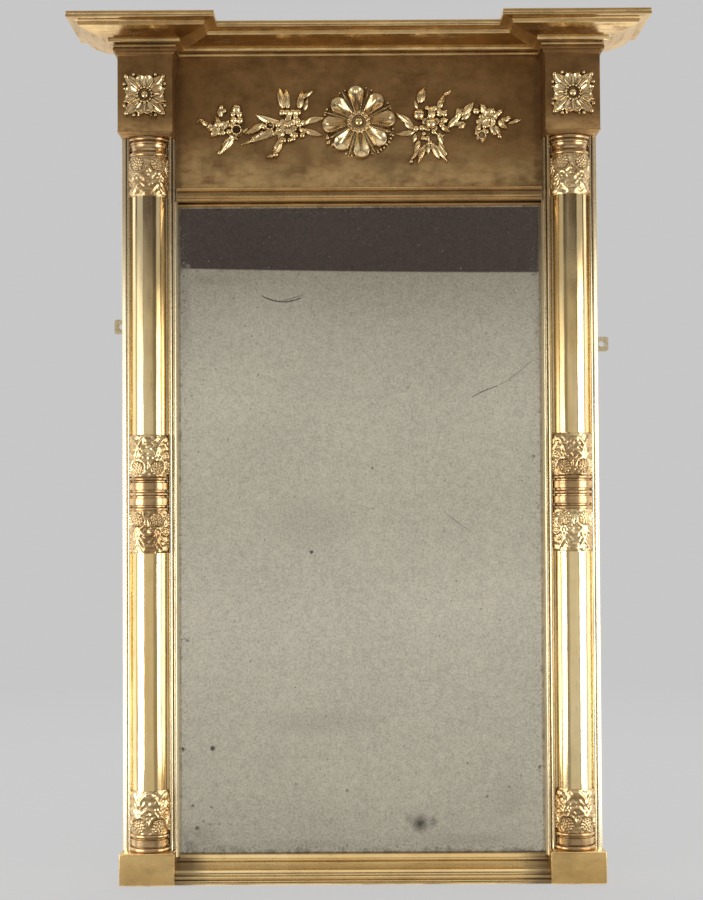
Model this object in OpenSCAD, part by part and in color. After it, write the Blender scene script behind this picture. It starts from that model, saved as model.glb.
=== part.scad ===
// Gilded pier mirror with half columns, corner blocks and a breakfront cornice.
// +Z is up and the front looks towards -Y. The origin lies on the floor line of the
// plinths, in the middle of the width and of the depth. Depths are measured forwards
// from the back of the frame, and heights from the foot of the plinths.

/* [Frame] */
// Height from the foot of the plinths to the top of the cornice
overall_h = 916; // [860:1:1000]
// Width of the mirror that shows
sight_w = 392; // [360:1:420]
// Thickness of the pine carcase
carcase_t = 18; // [17:0.5:24]
// How far the stiles stand in from the corner blocks
stile_inset = 1.5; // [0.5:0.5:3]
// Height of the bottom rail
bottom_rail_h = 23; // [18:0.5:25]
// Height of the rail behind the foot of the frieze
frieze_rail_h = 40; // [30:1:50]
// Height of the top rail
top_rail_h = 28; // [22:1:36]
// Thickness of a tenon
tenon_t = 5; // [4:0.5:6]
// Length of a tenon
tenon_l = 25; // [18:1:30]
// Width of the shoulder above and below a tenon
tenon_shoulder = 4; // [3:0.5:6]
// Radius of the oak pegs through the tenons
peg_r = 2.5; // [2:0.1:3]
// Gap all round a tenon or a peg
joint_gap = 0.1; // [0.05:0.05:0.2]

/* [Frieze] */
// Height of the frieze from the head moulding to the cornice
frieze_h = 146; // [130:1:160]
// Thickness of the frieze panel
frieze_panel_t = 6; // [5:0.5:7]

/* [Mirror plate and backboards] */
// Thickness of the silvered glass
glass_t = 4; // [3:0.5:5]
// How far the mouldings lap over the glass
glass_lap = 6; // [4:0.5:8]
// Gap between the edge of the glass and the stile, which the glazing blocks take up
glass_gap = 6.5; // [5:0.5:7]
// Width of a glazing block
glazing_block_w = 9; // [8:0.5:11]
// Length of a glazing block
glazing_block_l = 32; // [20:1:50]
// Depth of a glazing block from the glass backwards
glazing_block_t = 6; // [4:0.5:7]
// Thickness of the backboards
backboard_t = 6; // [5:0.5:7]
// Width of the rebate that takes the backboards
rebate_w = 8; // [6:0.5:10]
// Gap between the backboards and round them
board_gap = 0.5; // [0.3:0.1:1]
// Radius of a nail's shank
nail_r = 0.8; // [0.6:0.1:1]
// Radius of a nail's head
nail_head_r = 2.2; // [1.8:0.1:2.6]
// Thickness of a nail's head
nail_head_t = 0.6; // [0.5:0.1:0.9]
// Length of a nail
nail_l = 14; // [11:0.5:15]

/* [Corner blocks] */
// Width of a corner block and of a plinth
block_w = 58.5; // [56:0.5:60]
// How far the corner blocks stand back from the edge of the mirror
block_set_back = 2.5; // [2:0.5:4]
// Depth from the back of the frame to the face of the blocks
block_front = 62; // [61:0.5:70]
// Height of an upper corner block
die_h = 93; // [84:1:110]
// Height of a plinth
plinth_h = 34; // [32:0.5:42]
// Bevel under an upper corner block
die_bevel = 3; // [2:0.5:4]
// Height of the stepped neck at the top of an upper corner block
neck_h = 8; // [6:0.5:10]
// How far the neck stands out
neck_out = 4.5; // [3:0.5:4.5]

/* [Cornice] */
// How far the cornice stands out from the blocks and the frieze
cornice_out = 48; // [44:0.5:54]
// Height of the cornice
cornice_h = 28; // [26:0.5:34]
// Thickness of the top board
top_board_t = 3; // [2.5:0.5:4]
// Width of the cornice moulding behind its face
cornice_seat = 10; // [8:0.5:11]
// Height of the fascia below the top board
fascia_h = 3.4; // [2.5:0.1:5]
// Thickness of a glue block under the top board
glue_block_t = 7; // [5:0.5:7.5]
// Length of a glue block
glue_block_l = 34; // [20:1:38]

/* [Mouldings] */
// Depth from the back of the frame to the ground behind the columns
ground_front = 38; // [36:0.5:40]
// Depth from the back of the frame to the outer fillet
fillet_front = 41; // [40.5:0.5:43]
// Width of the outer fillet
fillet_w = 4.8; // [3:0.2:5.4]
// Radius of the bead beside the outer fillet
outer_bead_r = 1.9; // [1.4:0.1:2]
// Radius of the bead beside the column
inner_bead_r = 2; // [1.4:0.1:2.1]
// Radius of the bead at the sight edge
sight_bead_r = 1.8; // [1.4:0.1:1.9]
// Depth from the back of the frame to the sight edges of the head and bottom mouldings
sight_edge_front = 24.5; // [23.5:0.5:29]
// Height of the head moulding
head_h = 18.2; // [17:0.2:24]
// Height of the bottom moulding
bottom_moulding_h = 26.2; // [25.6:0.2:29]
// Depth from the back of the frame to the foot of the bottom moulding
bottom_front = 58; // [55:0.5:60]

/* [Columns] */
// Radius of a column shaft
shaft_r = 18.5; // [17:0.1:19]
// Largest radius of a leaf collar
collar_r = 21.3; // [20.5:0.1:21.8]
// Radius of the rings
ring_r = 21; // [20:0.1:21.8]
// How far the column stands in from the middle of the blocks
column_set_in = 1.25; // [0:0.05:1.5]
// Height of the middle of the centre rings
reel_z = 413; // [380:1:450]
// Height of the centre rings
reel_h = 36.5; // [34:0.5:42]
// Height of a leaf collar beside the centre rings
collar_h = 45; // [38:1:52]
// Height of the rings under the corner block
capital_ring_h = 21; // [20:0.5:25]
// Height of the leaf collar of the capital
capital_leaf_h = 43; // [36:1:50]
// Height of the rings on the plinth
base_ring_h = 18.5; // [17.5:0.5:24]
// Height of the leaf collar of the base
base_leaf_h = 46; // [38:1:52]
// Relief of the leaves over the body of a collar
leaf_relief = 1.1; // [0.6:0.1:1.6]

/* [Applied ornament] */
// Radius of the flower in the middle of the frieze
flower_r = 40.5; // [34:0.5:44]
// Height of the flower's petals over the frieze
flower_t = 6; // [4.5:0.5:8]
// Relief of the sprays over the frieze
spray_t = 4; // [3:0.5:6]
// Place of an inner spray, as a share of the half width of the frieze
inner_spray_share = 0.393; // [0.385:0.001:0.4]
// Place of an outer spray, as a share of the half width of the frieze
outer_spray_share = 0.73; // [0.72:0.001:0.74]
// Width of a corner rosette
rosette_w = 46; // [40:0.5:48]
// Relief of a corner rosette
rosette_t = 4.5; // [3.5:0.5:6]

/* [Hanging plates] */
// Thickness of a brass hanging plate
plate_t = 2; // [1.5:0.1:2.5]
// Width of a hanging plate
plate_w = 16; // [14:0.5:18]
// Radius of the two outer corners of a hanging plate
plate_corner_r = 2.5; // [1:0.5:4]
// Radius of the hole for the wall screw
plate_hole_r = 3; // [2.5:0.1:3.5]
// How far a hanging plate reaches over the back of its stile
plate_on_stile = 30; // [27:1:34]
// How far the left hanging plate stands out from the frame
left_plate_out = 12.5; // [11.5:0.5:18]
// How far the right hanging plate stands out from the frame
right_plate_out = 16; // [11.5:0.5:18]
// Height of the hole in the left hanging plate
left_plate_z = 596; // [500:1:650]
// Height of the hole in the right hanging plate
right_plate_z = 574.5; // [500:0.5:650]
// Radius of a screw's head
screw_head_r = 3; // [2.6:0.1:3.2]
// Radius of a screw's shank
screw_r = 1.4; // [1.1:0.1:1.6]
// Length of a screw
screw_l = 13; // [10:0.5:14]

/* [Hidden] */
$fn = 48;

GILT = "goldenrod";
DARK_GILT = "darkgoldenrod";
PINE = "burlywood";
BRASS = "khaki";
IRON = "dimgray";

// Widths from the middle line
sight_x = sight_w / 2;
block_in = sight_x + block_set_back;
block_out = block_in + block_w;
stile_out = block_out - stile_inset;
glass_x = sight_x + glass_lap;
stile_in = glass_x + glass_gap;
moulding_w = stile_out - sight_x;
column_x = (block_out + block_in) / 2 - column_set_in;
cornice_x = block_out + cornice_out;

// Heights
cornice_z = overall_h - cornice_h;
head_top = cornice_z - frieze_h;
sight_top = head_top - head_h;
die_z = cornice_z - die_h;
glass_z0 = bottom_rail_h;
glass_z1 = sight_top + glass_lap;
top_rail_z = cornice_z - top_rail_h;
panel_z = glass_z1 + 1;
frieze_rail_z = panel_z;
board_z0 = bottom_rail_h - rebate_w + board_gap;
board_z1 = top_rail_z + rebate_w - board_gap;

// Depths
rail_t = carcase_t - frieze_panel_t;
tenon_d0 = backboard_t;
overall_d = block_front + cornice_out;
back_y = overall_d / 2;
eps = 1;

function y(depth) = back_y - depth;

function arc(c, r, a0, a1, n = 6) =
    [for (i = [0:n]) c + r * [cos(a0 + (a1 - a0) * i / n), sin(a0 + (a1 - a0) * i / n)]];

// A pointed leaf of length l and width w, its stalk at the origin and its tip up
function leaf_outline(l, w, n = 8) = concat(
    [for (i = [0:n]) [w / 2 * pow(sin(180 * pow(i / n, 0.8)), 0.9), l * i / n]],
    [for (i = [n - 1:-1:1]) [-w / 2 * pow(sin(180 * pow(i / n, 0.8)), 0.9), l * i / n]]
);

// A spoon-shaped petal from radius r0 to radius r1, widest near its round end
function petal_outline(r0, r1, w, n = 8) =
    let (l = r1 - w / 2 - r0)
    concat(
        [[w / 7, r0], [w / 4, r0 + l * 0.35]],
        arc([0, r0 + l], w / 2, -12, 192, n),
        [[-w / 4, r0 + l * 0.35], [-w / 7, r0]]
    );

// A box given by its two corners in width, depth and height
module block(x0, x1, d0, d1, z0, z1) {
    translate([min(x0, x1), y(max(d0, d1)), z0])
        cube([abs(x1 - x0), abs(d1 - d0), z1 - z0]);
}

// A rod that runs backwards and forwards, from depth d0 to depth d1
module depth_rod(x, z, d0, d1, r) {
    translate([x, y(d0), z]) rotate([90, 0, 0]) cylinder(h = d1 - d0, r = r);
}

// Draws its child, and once more on the other side when side is 1
module sided(side) {
    if (side < 0) children();
    else mirror([1, 0, 0]) children();
}

// Stands an outline of width and height on a face at the given depth, t thick
module relief(depth, t) {
    translate([0, y(depth), 0]) rotate([90, 0, 0]) linear_extrude(t) children();
}

/* Carcase */

module rail_tenon(z0, z1, grow) {
    block(
        -stile_in - tenon_l - grow, -stile_in, tenon_d0 - grow, tenon_d0 + tenon_t + grow,
        z0 + tenon_shoulder - grow, z1 - tenon_shoulder + grow
    );
}

peg_x = stile_in + tenon_l / 2;
frieze_rail_top = frieze_rail_z + frieze_rail_h;
RAIL_ENDS = [[0, bottom_rail_h], [frieze_rail_z, frieze_rail_top], [top_rail_z, cornice_z]];

module peg_holes() {
    for (ends = RAIL_ENDS, side = [-1, 1])
        depth_rod(side * peg_x, (ends[0] + ends[1]) / 2, -eps, carcase_t + eps, peg_r + joint_gap);
}

module joint_pegs() color(PINE) {
    for (ends = RAIL_ENDS, side = [-1, 1])
        depth_rod(side * peg_x, (ends[0] + ends[1]) / 2, 0, carcase_t, peg_r);
}

function plate_out(side) = side < 0 ? left_plate_out : right_plate_out;
function plate_z(side) = side < 0 ? left_plate_z : right_plate_z;
function plate_hole_x(side) = stile_out + plate_out(side) - plate_w / 2;

// The two screws stand in the part of the plate that lies on the stile
function screw_x(i) = stile_out - plate_on_stile * (i == 0 ? 0.24 : 0.76);

module screw_holes(side, grow, d1) {
    for (i = [0, 1])
        depth_rod(screw_x(i), plate_z(side), -eps, d1, screw_r + grow);
}

// The stile on the left, or on the right drawn as if it were on the left
module stile(side) color(PINE) {
    difference() {
        block(-stile_out, -stile_in, 0, carcase_t, 0, cornice_z);
        block(
            -stile_in - rebate_w, -stile_in + eps, -eps, backboard_t,
            bottom_rail_h - rebate_w, top_rail_z + rebate_w
        );
        for (ends = RAIL_ENDS) rail_tenon(ends[0], ends[1], joint_gap);
        peg_holes();
        board_nail_holes(backboard_t - eps);
        block(
            -stile_out - eps, -stile_out + plate_on_stile + joint_gap, -eps, plate_t,
            plate_z(side) - plate_w / 2 - joint_gap, plate_z(side) + plate_w / 2 + joint_gap
        );
        mirror([1, 0, 0]) screw_holes(side, joint_gap, screw_l + joint_gap);
    }
}

module left_stile() { stile(-1); }
module right_stile() { mirror([1, 0, 0]) stile(1); }

// A rail between the stiles with a tenon at each end
module rail(d0, d1, z0, z1) {
    difference() {
        union() {
            block(-stile_in, stile_in, d0, d1, z0, z1);
            rail_tenon(z0, z1, 0);
            mirror([1, 0, 0]) rail_tenon(z0, z1, 0);
        }
        peg_holes();
        children();
    }
}

module top_rail() color(PINE) {
    rail(0, rail_t, top_rail_z, cornice_z) {
        block(-stile_in - eps, stile_in + eps, -eps, backboard_t, top_rail_z - eps, top_rail_z + rebate_w);
        board_nail_holes(backboard_t - eps);
    }
}

module frieze_rail() color(PINE) {
    rail(backboard_t, rail_t, frieze_rail_z, frieze_rail_top);
}

module bottom_rail() color(PINE) {
    rail(0, carcase_t, 0, bottom_rail_h) {
        block(
            -stile_in - eps, stile_in + eps, -eps, backboard_t,
            bottom_rail_h - rebate_w, bottom_rail_h + eps
        );
        board_nail_holes(backboard_t - eps);
    }
}

module frieze_panel() color(DARK_GILT) {
    block(-stile_in, stile_in, rail_t, carcase_t, panel_z, cornice_z);
}

/* Mirror plate and back */

module mirror_plate() color("lightsteelblue") {
    block(-glass_x, glass_x, carcase_t - glass_t, carcase_t, glass_z0, glass_z1);
}

glass_back = carcase_t - glass_t;

// Three blocks down each side, three along the foot and three under the frieze rail
module glazing_blocks() color(PINE) {
    for (i = [0:2]) {
        side_z = glass_z0 + (glass_z1 - glass_z0) * (1 + 2 * i) / 6;
        end_x = (i - 1) * glass_x * 2 / 3;
        for (side = [-1, 1])
            block(
                side * (stile_in - glazing_block_w), side * stile_in,
                glass_back - glazing_block_t, glass_back,
                side_z - glazing_block_l / 2, side_z + glazing_block_l / 2
            );
        block(
            end_x - glazing_block_l / 2, end_x + glazing_block_l / 2,
            glass_back - glazing_block_t, glass_back, bottom_rail_h, bottom_rail_h + glazing_block_w
        );
        block(
            end_x - glazing_block_l / 2, end_x + glazing_block_l / 2,
            glass_back - glazing_block_t, glass_back,
            frieze_rail_z - glazing_block_w, frieze_rail_z
        );
    }
}

board_x = stile_in + rebate_w - board_gap;
board_h = (board_z1 - board_z0 - 2 * board_gap) / 3;
nail_x = stile_in + rebate_w / 2;

function board_foot(i) = board_z0 + i * (board_h + board_gap);

// Where the nails stand: two at each end of each board, and three along the top and foot
NAILS = concat(
    [for (i = [0:2], s = [-1, 1], f = [0.18, 0.82]) [s * nail_x, board_foot(i) + f * board_h]],
    [for (x = [-1, 0, 1]) [x * stile_in * 0.6, bottom_rail_h - rebate_w / 2]],
    [for (x = [-1, 0, 1]) [x * stile_in * 0.6, top_rail_z + rebate_w / 2]]
);

function nail_length(n) = n[1] > top_rail_z ? min(nail_l, rail_t - 1) : nail_l;

module board_nail_holes(d0) {
    for (n = NAILS)
        depth_rod(n[0], n[1], d0, nail_length(n) + joint_gap, nail_r + joint_gap);
}

module backboard(i) color(PINE) {
    difference() {
        block(-board_x, board_x, 0, backboard_t, board_foot(i), board_foot(i) + board_h);
        board_nail_holes(-eps);
        for (n = NAILS) depth_rod(n[0], n[1], -eps, nail_head_t, nail_head_r + joint_gap);
    }
}

module backboard_lower() { backboard(0); }
module backboard_middle() { backboard(1); }
module backboard_upper() { backboard(2); }

module backboard_nails() color(IRON) {
    for (n = NAILS) {
        depth_rod(n[0], n[1], 0, nail_head_t, nail_head_r);
        depth_rod(n[0], n[1], 0, nail_length(n), nail_r);
    }
}

/* Planted mouldings */

quirk = 0.8;
lip_front = ground_front - 1.6;
outer_bead_u = fillet_w + quirk + outer_bead_r;
sight_bead_u = moulding_w - 1.4 - sight_bead_r;
inner_bead_u = sight_bead_u - sight_bead_r - quirk - inner_bead_r;

// Section of the moulding beside the mirror: width in from the outer side, and depth
PILASTER = concat(
    [[0, carcase_t], [moulding_w, carcase_t], [moulding_w, lip_front - 0.6]],
    arc([sight_bead_u, lip_front + 0.8], sight_bead_r, -25, 205),
    [[sight_bead_u - sight_bead_r - quirk / 2, lip_front - 0.2]],
    arc([inner_bead_u, ground_front + 0.8], inner_bead_r, -35, 205),
    [[inner_bead_u - inner_bead_r - quirk, ground_front]],
    [[outer_bead_u + outer_bead_r + quirk, ground_front]],
    arc([outer_bead_u, ground_front + 0.7], outer_bead_r, -25, 205),
    [[fillet_w + quirk / 4, ground_front - 0.4], [fillet_w, ground_front], [fillet_w, fillet_front]],
    [[0.6, fillet_front], [0, fillet_front - 0.6]]
);

module pilaster_section() {
    polygon([for (p = PILASTER) [-stile_out + p[0], y(p[1])]]);
}

// The moulding stands on the plinth. Its sight bead laps down beside the plinth, and
// stops at the head moulding.
module pilaster_moulding() color(GILT) {
    difference() {
        translate([0, 0, bottom_moulding_h])
            linear_extrude(die_z - bottom_moulding_h) pilaster_section();
        block(-block_out, -block_in, 0, block_front, 0, plinth_h);
        block(-block_in, -sight_x + eps, 0, block_front, head_top, die_z + eps);
    }
}

module left_pilaster_moulding() { pilaster_moulding(); }
module right_pilaster_moulding() { mirror([1, 0, 0]) pilaster_moulding(); }

// Runs a section of depth and height along the width, between x0 and x1
module run_along_x(section, x0, x1) {
    translate([x0, 0, 0])
        rotate([90, 0, 90])
            linear_extrude(x1 - x0)
                polygon([for (p = section) [y(p[0]), p[1]]]);
}

head_front = fillet_front + 1;

HEAD = concat(
    [[carcase_t, sight_top]],
    arc([sight_edge_front, sight_top + sight_bead_r], sight_bead_r, -90, 70),
    [[ground_front - 2, sight_top + 2 * sight_bead_r - 0.1]],
    arc([ground_front + 0.8, sight_top + 2 * sight_bead_r + inner_bead_r - 0.6], inner_bead_r, -110, 60),
    [for (a = [0:15:90])
        [head_front - 0.4 - 2 * cos(a), sight_top + 7.2 + (head_h - 13.2) * sin(a)]],
    [[head_front, sight_top + head_h - 5.6], [head_front, head_top - 0.8], [head_front - 0.8, head_top]],
    [[carcase_t, head_top]]
);

module head_moulding() color(GILT) {
    run_along_x(HEAD, -sight_x, sight_x);
}

// Section of the bottom moulding: foot fillet, bead, fillet, cove, bead and sight edge
cove_back = sight_edge_front + 7;
BOTTOM = concat(
    [[carcase_t, 0], [bottom_front, 0], [bottom_front, 4.4]],
    arc([bottom_front - 2.6, 6.6], 2, -55, 100),
    [[bottom_front - 6.2, 9.6], [bottom_front - 5.2, 10.4], [bottom_front - 5.2, 13.8]],
    [for (a = [0:15:75])
        [
            cove_back + (bottom_front - 6.2 - cove_back) * (1 - sin(a)),
            14.4 + (bottom_moulding_h - 20.4) * (1 - cos(a))
        ]],
    arc([sight_edge_front + 5, bottom_moulding_h - 5.3], 1.6, -60, 100),
    [[sight_edge_front + 2.4, bottom_moulding_h - 3.4], [sight_edge_front + 0.4, bottom_moulding_h - 0.4]],
    [[sight_edge_front, bottom_moulding_h], [carcase_t, bottom_moulding_h]]
);

module bottom_moulding() color(GILT) {
    run_along_x(BOTTOM, -block_in, block_in);
}

/* Corner blocks and plinths */

module plinth() color(GILT) {
    block(-block_out, -block_in, carcase_t, block_front, 0, plinth_h);
}

module left_plinth() { plinth(); }
module right_plinth() { mirror([1, 0, 0]) plinth(); }

// The block with a bevel under it and a stepped neck under the cornice
module die() color(DARK_GILT) {
    difference() {
        block(-block_out, -block_in, carcase_t, block_front, die_z, cornice_z);
        for (side = [-1, 1])
            translate([(-block_out - block_in) / 2 + side * block_w / 2, 0, die_z])
                rotate([0, 45, 0])
                    cube([die_bevel * sqrt(2), 3 * overall_d, die_bevel * sqrt(2)], center = true);
        translate([0, y(block_front), die_z])
            rotate([45, 0, 0])
                cube([2 * overall_h, die_bevel * sqrt(2), die_bevel * sqrt(2)], center = true);
    }
    block(
        -block_out - neck_out * 0.4, -block_in + neck_out * 0.4, carcase_t, block_front + neck_out * 0.4,
        cornice_z - neck_h, cornice_z
    );
    block(
        -block_out - neck_out, -block_in + neck_out, carcase_t, block_front + neck_out,
        cornice_z - neck_h / 2, cornice_z
    );
}

module left_die() { die(); }
module right_die() { mirror([1, 0, 0]) die(); }

/* Half columns */

// Section of a raised bead between two heights, as radius and height
function ring_bead(z0, z1, r) =
    let (h = (z1 - z0) / 2)
    [for (a = [-90:30:90]) [r - h + h * cos(a), (z0 + z1) / 2 + h * sin(a)]];

// A half-turned piece on the ground of the moulding, coped over its beads
module half_turned(z0, section) {
    difference() {
        translate([-column_x, y(ground_front), z0])
            rotate([0, 0, 180])
                rotate_extrude(angle = 180) polygon(section);
        translate([0, 0, z0 - eps]) linear_extrude(overall_h) pilaster_section();
    }
}

groove_r = shaft_r + 0.2;
band_r = ring_r - 0.8;

BASE_RINGS = concat(
    [[0, 0]],
    ring_bead(0, 4.6, ring_r + 1.2),
    [[groove_r, 4.8], [groove_r, 5.8], [band_r, 6.2], [band_r, 12.8], [groove_r, 13.2]],
    [[groove_r, 14.2]],
    ring_bead(14.6, base_ring_h, ring_r),
    [[0, base_ring_h]]
);

CAPITAL_RINGS = concat(
    [[0, 0]],
    ring_bead(0, 4.8, ring_r),
    [[groove_r, 5.4], [groove_r, 7], [band_r - 0.8, 7.6], [band_r - 0.8, 12.4]],
    ring_bead(12.6, 15.8, ring_r - 0.4),
    [[groove_r, 16.2]],
    ring_bead(16.6, capital_ring_h, ring_r + 0.6),
    [[0, capital_ring_h]]
);

reel_mid = reel_h / 2;

REEL = concat(
    [[0, 0]],
    ring_bead(0, 4, ring_r),
    [[groove_r, 4.6], [groove_r, 6], [band_r, 6.6], [band_r, reel_mid - 4.6]],
    [[groove_r, reel_mid - 3.8], [groove_r, reel_mid - 2.4]],
    ring_bead(reel_mid - 2, reel_mid + 2, ring_r),
    [[groove_r, reel_mid + 2.4], [groove_r, reel_mid + 3.8]],
    [[band_r, reel_mid + 4.6], [band_r, reel_h - 6.6], [groove_r, reel_h - 6], [groove_r, reel_h - 4.6]],
    ring_bead(reel_h - 4, reel_h, ring_r),
    [[0, reel_h]]
);

// Radius of a collar's body at a share of its height from the rings to the leaf tips
function collar_body(s) =
    shaft_r - 0.6 + (collar_r - leaf_relief - shaft_r + 0.6) * pow(sin(90 + 82 * max(0, s - 0.22) / 0.78), 0.6);

module collar_solid(h, grow) {
    rotate([0, 0, 180])
        rotate_extrude(angle = 180)
            polygon(concat(
                [[0, 0]],
                [for (i = [0:6]) [collar_body(i / 6) + grow, h * i / 6]],
                [[0, h]]
            ));
}

// A prism in the outline of a leaf, from the column's axis outwards
module leaf_prism(turn, l, w) {
    rotate([0, 0, turn])
        rotate([90, 0, 0])
            linear_extrude(2 * collar_r)
                polygon([[w * 0.36, eps], [w / 2, l * 0.45], [w * 0.3, l * 0.82], [0, l], [-w * 0.3, l * 0.82],
                    [-w / 2, l * 0.45], [-w * 0.36, eps]]);
}

flower_head_r = 6;

// A leaf collar with the rings' end at z0, its leaves up, or down when flip is true
module leaf_collar(z0, h, flip) color(GILT) {
    difference() {
        translate([-column_x, y(ground_front), z0 + (flip ? h : 0)])
            mirror([0, 0, flip ? 1 : 0]) {
                collar_solid(h, 0);
                intersection() {
                    collar_solid(h, leaf_relief);
                    union() {
                        for (turn = [-56, 0, 56]) leaf_prism(turn, h * 0.94, 15);
                        for (turn = [-28, 28]) leaf_prism(turn, h * 0.76, 13);
                    }
                }
                for (turn = [-27, 27])
                    rotate([0, 0, turn])
                        translate([0, flower_head_r - collar_r - 0.4, h * 0.25]) sphere(r = flower_head_r);
            }
        translate([0, 0, z0 - eps]) linear_extrude(overall_h) pilaster_section();
    }
}

module shaft(z0, z1) color(GILT) {
    half_turned(z0, [[0, 0], [shaft_r, 0], [shaft_r, z1 - z0], [0, z1 - z0]]);
}

base_leaf_z = plinth_h + base_ring_h;
lower_shaft_z = base_leaf_z + base_leaf_h;
lower_collar_z = reel_z - reel_mid - collar_h;
upper_collar_z = reel_z + reel_mid;
upper_shaft_z = upper_collar_z + collar_h;
capital_ring_z = die_z - capital_ring_h;
capital_leaf_z = capital_ring_z - capital_leaf_h;

module base_rings() color(GILT) { half_turned(plinth_h, BASE_RINGS); }
module base_leaves() { leaf_collar(base_leaf_z, base_leaf_h, false); }
module lower_shaft() { shaft(lower_shaft_z, lower_collar_z); }
module lower_collar() { leaf_collar(lower_collar_z, collar_h, true); }
module reel() color(GILT) { half_turned(reel_z - reel_mid, REEL); }
module upper_collar() { leaf_collar(upper_collar_z, collar_h, false); }
module upper_shaft() { shaft(upper_shaft_z, capital_leaf_z); }
module capital_leaves() { leaf_collar(capital_leaf_z, capital_leaf_h, true); }
module capital_rings() color(GILT) { half_turned(capital_ring_z, CAPITAL_RINGS); }

module left_base_rings() { base_rings(); }
module left_base_leaves() { base_leaves(); }
module left_lower_shaft() { lower_shaft(); }
module left_lower_collar() { lower_collar(); }
module left_reel() { reel(); }
module left_upper_collar() { upper_collar(); }
module left_upper_shaft() { upper_shaft(); }
module left_capital_leaves() { capital_leaves(); }
module left_capital_rings() { capital_rings(); }
module right_base_rings() { mirror([1, 0, 0]) base_rings(); }
module right_base_leaves() { mirror([1, 0, 0]) base_leaves(); }
module right_lower_shaft() { mirror([1, 0, 0]) lower_shaft(); }
module right_lower_collar() { mirror([1, 0, 0]) lower_collar(); }
module right_reel() { mirror([1, 0, 0]) reel(); }
module right_upper_collar() { mirror([1, 0, 0]) upper_collar(); }
module right_upper_shaft() { mirror([1, 0, 0]) upper_shaft(); }
module right_capital_leaves() { mirror([1, 0, 0]) capital_leaves(); }
module right_capital_rings() { mirror([1, 0, 0]) capital_rings(); }

/* Cornice */

moulding_h = cornice_h - top_board_t;
fascia_v = moulding_h - fascia_h;
cove_v = fascia_v - 5.4;
bed_v = 8.3;
ovolo_u = 13.5;
cove_u = cornice_out - 11.5;

// Section of the cornice: distance out from the face, and height over the frieze
CORNICE = concat(
    [[-cornice_seat, 0], [2.4, 0]],
    arc([2.4, 1.8], 1.8, -75, 90),
    [[2.6, 4.3], [8.2, 4.6], [9, 5.4], [9, bed_v - 0.4], [ovolo_u, bed_v]],
    [for (i = [1:8])
        let (s = i / 8)
        [ovolo_u + s * (cove_u - ovolo_u), bed_v + (cove_v - bed_v) * (0.6 * s + 0.4 * s * s)]],
    [for (a = [15:15:90]) [cove_u + 6.5 * (1 - cos(a)), cove_v + 4.8 * sin(a)]],
    [[cornice_out - 3, fascia_v], [cornice_out, fascia_v], [cornice_out, moulding_h]],
    [[-cornice_seat, moulding_h]]
);

// Runs the cornice along the width, with its face at the given depth
module cornice_along_x(face) {
    translate([-cornice_x - eps, 0, cornice_z])
        rotate([90, 0, 90])
            linear_extrude(2 * cornice_x + 2 * eps)
                polygon([for (p = CORNICE) [y(face + p[0]), p[1]]]);
}

// Runs the cornice along the depth, with its face at width x, looking out or in
module cornice_along_y(x, out) {
    translate([0, back_y, cornice_z])
        rotate([90, 0, 0])
            linear_extrude(2 * overall_d)
                polygon([for (p = CORNICE) [x - out * p[0], p[1]]]);
}

// A corner of the mitre joint, p out from the faces at width x and depth d
function outer_mitre(p) = [-block_out - p, y(block_front + p)];
function inner_mitre(p) = [-block_in + p, y(block_front + p)];
function valley(p) = [-block_in + p, y(carcase_t + p)];

module plan(points) {
    translate([0, 0, cornice_z - eps]) linear_extrude(cornice_h + 2 * eps) polygon(points);
}

far = cornice_out + eps;

module cornice_centre() color(GILT) {
    intersection() {
        cornice_along_x(carcase_t);
        plan([
            valley(-cornice_seat), valley(far),
            [-valley(far)[0], valley(far)[1]], [-valley(-cornice_seat)[0], valley(-cornice_seat)[1]]
        ]);
    }
}

module cornice_front() color(GILT) {
    intersection() {
        cornice_along_x(block_front);
        plan([outer_mitre(-cornice_seat), outer_mitre(far), inner_mitre(far), inner_mitre(-cornice_seat)]);
    }
}

module cornice_outer_return() color(GILT) {
    intersection() {
        cornice_along_y(-block_out, 1);
        plan([
            outer_mitre(-cornice_seat), outer_mitre(far),
            [-block_out - far, y(0)], [-block_out + cornice_seat, y(0)]
        ]);
    }
}

module cornice_inner_return() color(GILT) {
    intersection() {
        cornice_along_y(-block_in, -1);
        plan([inner_mitre(-cornice_seat), inner_mitre(far), valley(far), valley(-cornice_seat)]);
    }
}

module left_cornice_front() { cornice_front(); }
module right_cornice_front() { mirror([1, 0, 0]) cornice_front(); }
module left_cornice_outer_return() { cornice_outer_return(); }
module right_cornice_outer_return() { mirror([1, 0, 0]) cornice_outer_return(); }
module left_cornice_inner_return() { cornice_inner_return(); }
module right_cornice_inner_return() { mirror([1, 0, 0]) cornice_inner_return(); }

// The boards that close the top, with their edges over the fascia
top_board_z = overall_h - top_board_t;

module top_board() color(GILT) {
    block(-cornice_x, cornice_x, 0, carcase_t + cornice_out, top_board_z, overall_h);
}

module break_board() color(GILT) {
    block(-cornice_x, cornice_out - block_in, carcase_t + cornice_out, overall_d, top_board_z, overall_h);
}

module left_break_board() { break_board(); }
module right_break_board() { mirror([1, 0, 0]) break_board(); }

// Blocks behind the cornice: one on each corner block and three on the top rail
module cornice_glue_blocks() color(PINE) {
    for (side = [-1, 1])
        block(
            side * (block_in + cornice_seat), side * (block_in + cornice_seat + glue_block_l),
            carcase_t - cornice_seat, block_front - cornice_seat, cornice_z, cornice_z + moulding_h
        );
    for (i = [-1:1])
        block(
            i * block_in * 0.6 - glue_block_l / 2, i * block_in * 0.6 + glue_block_l / 2,
            carcase_t - cornice_seat - glue_block_t, carcase_t - cornice_seat,
            cornice_z, cornice_z + moulding_h
        );
}

/* Applied ornament */

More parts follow.
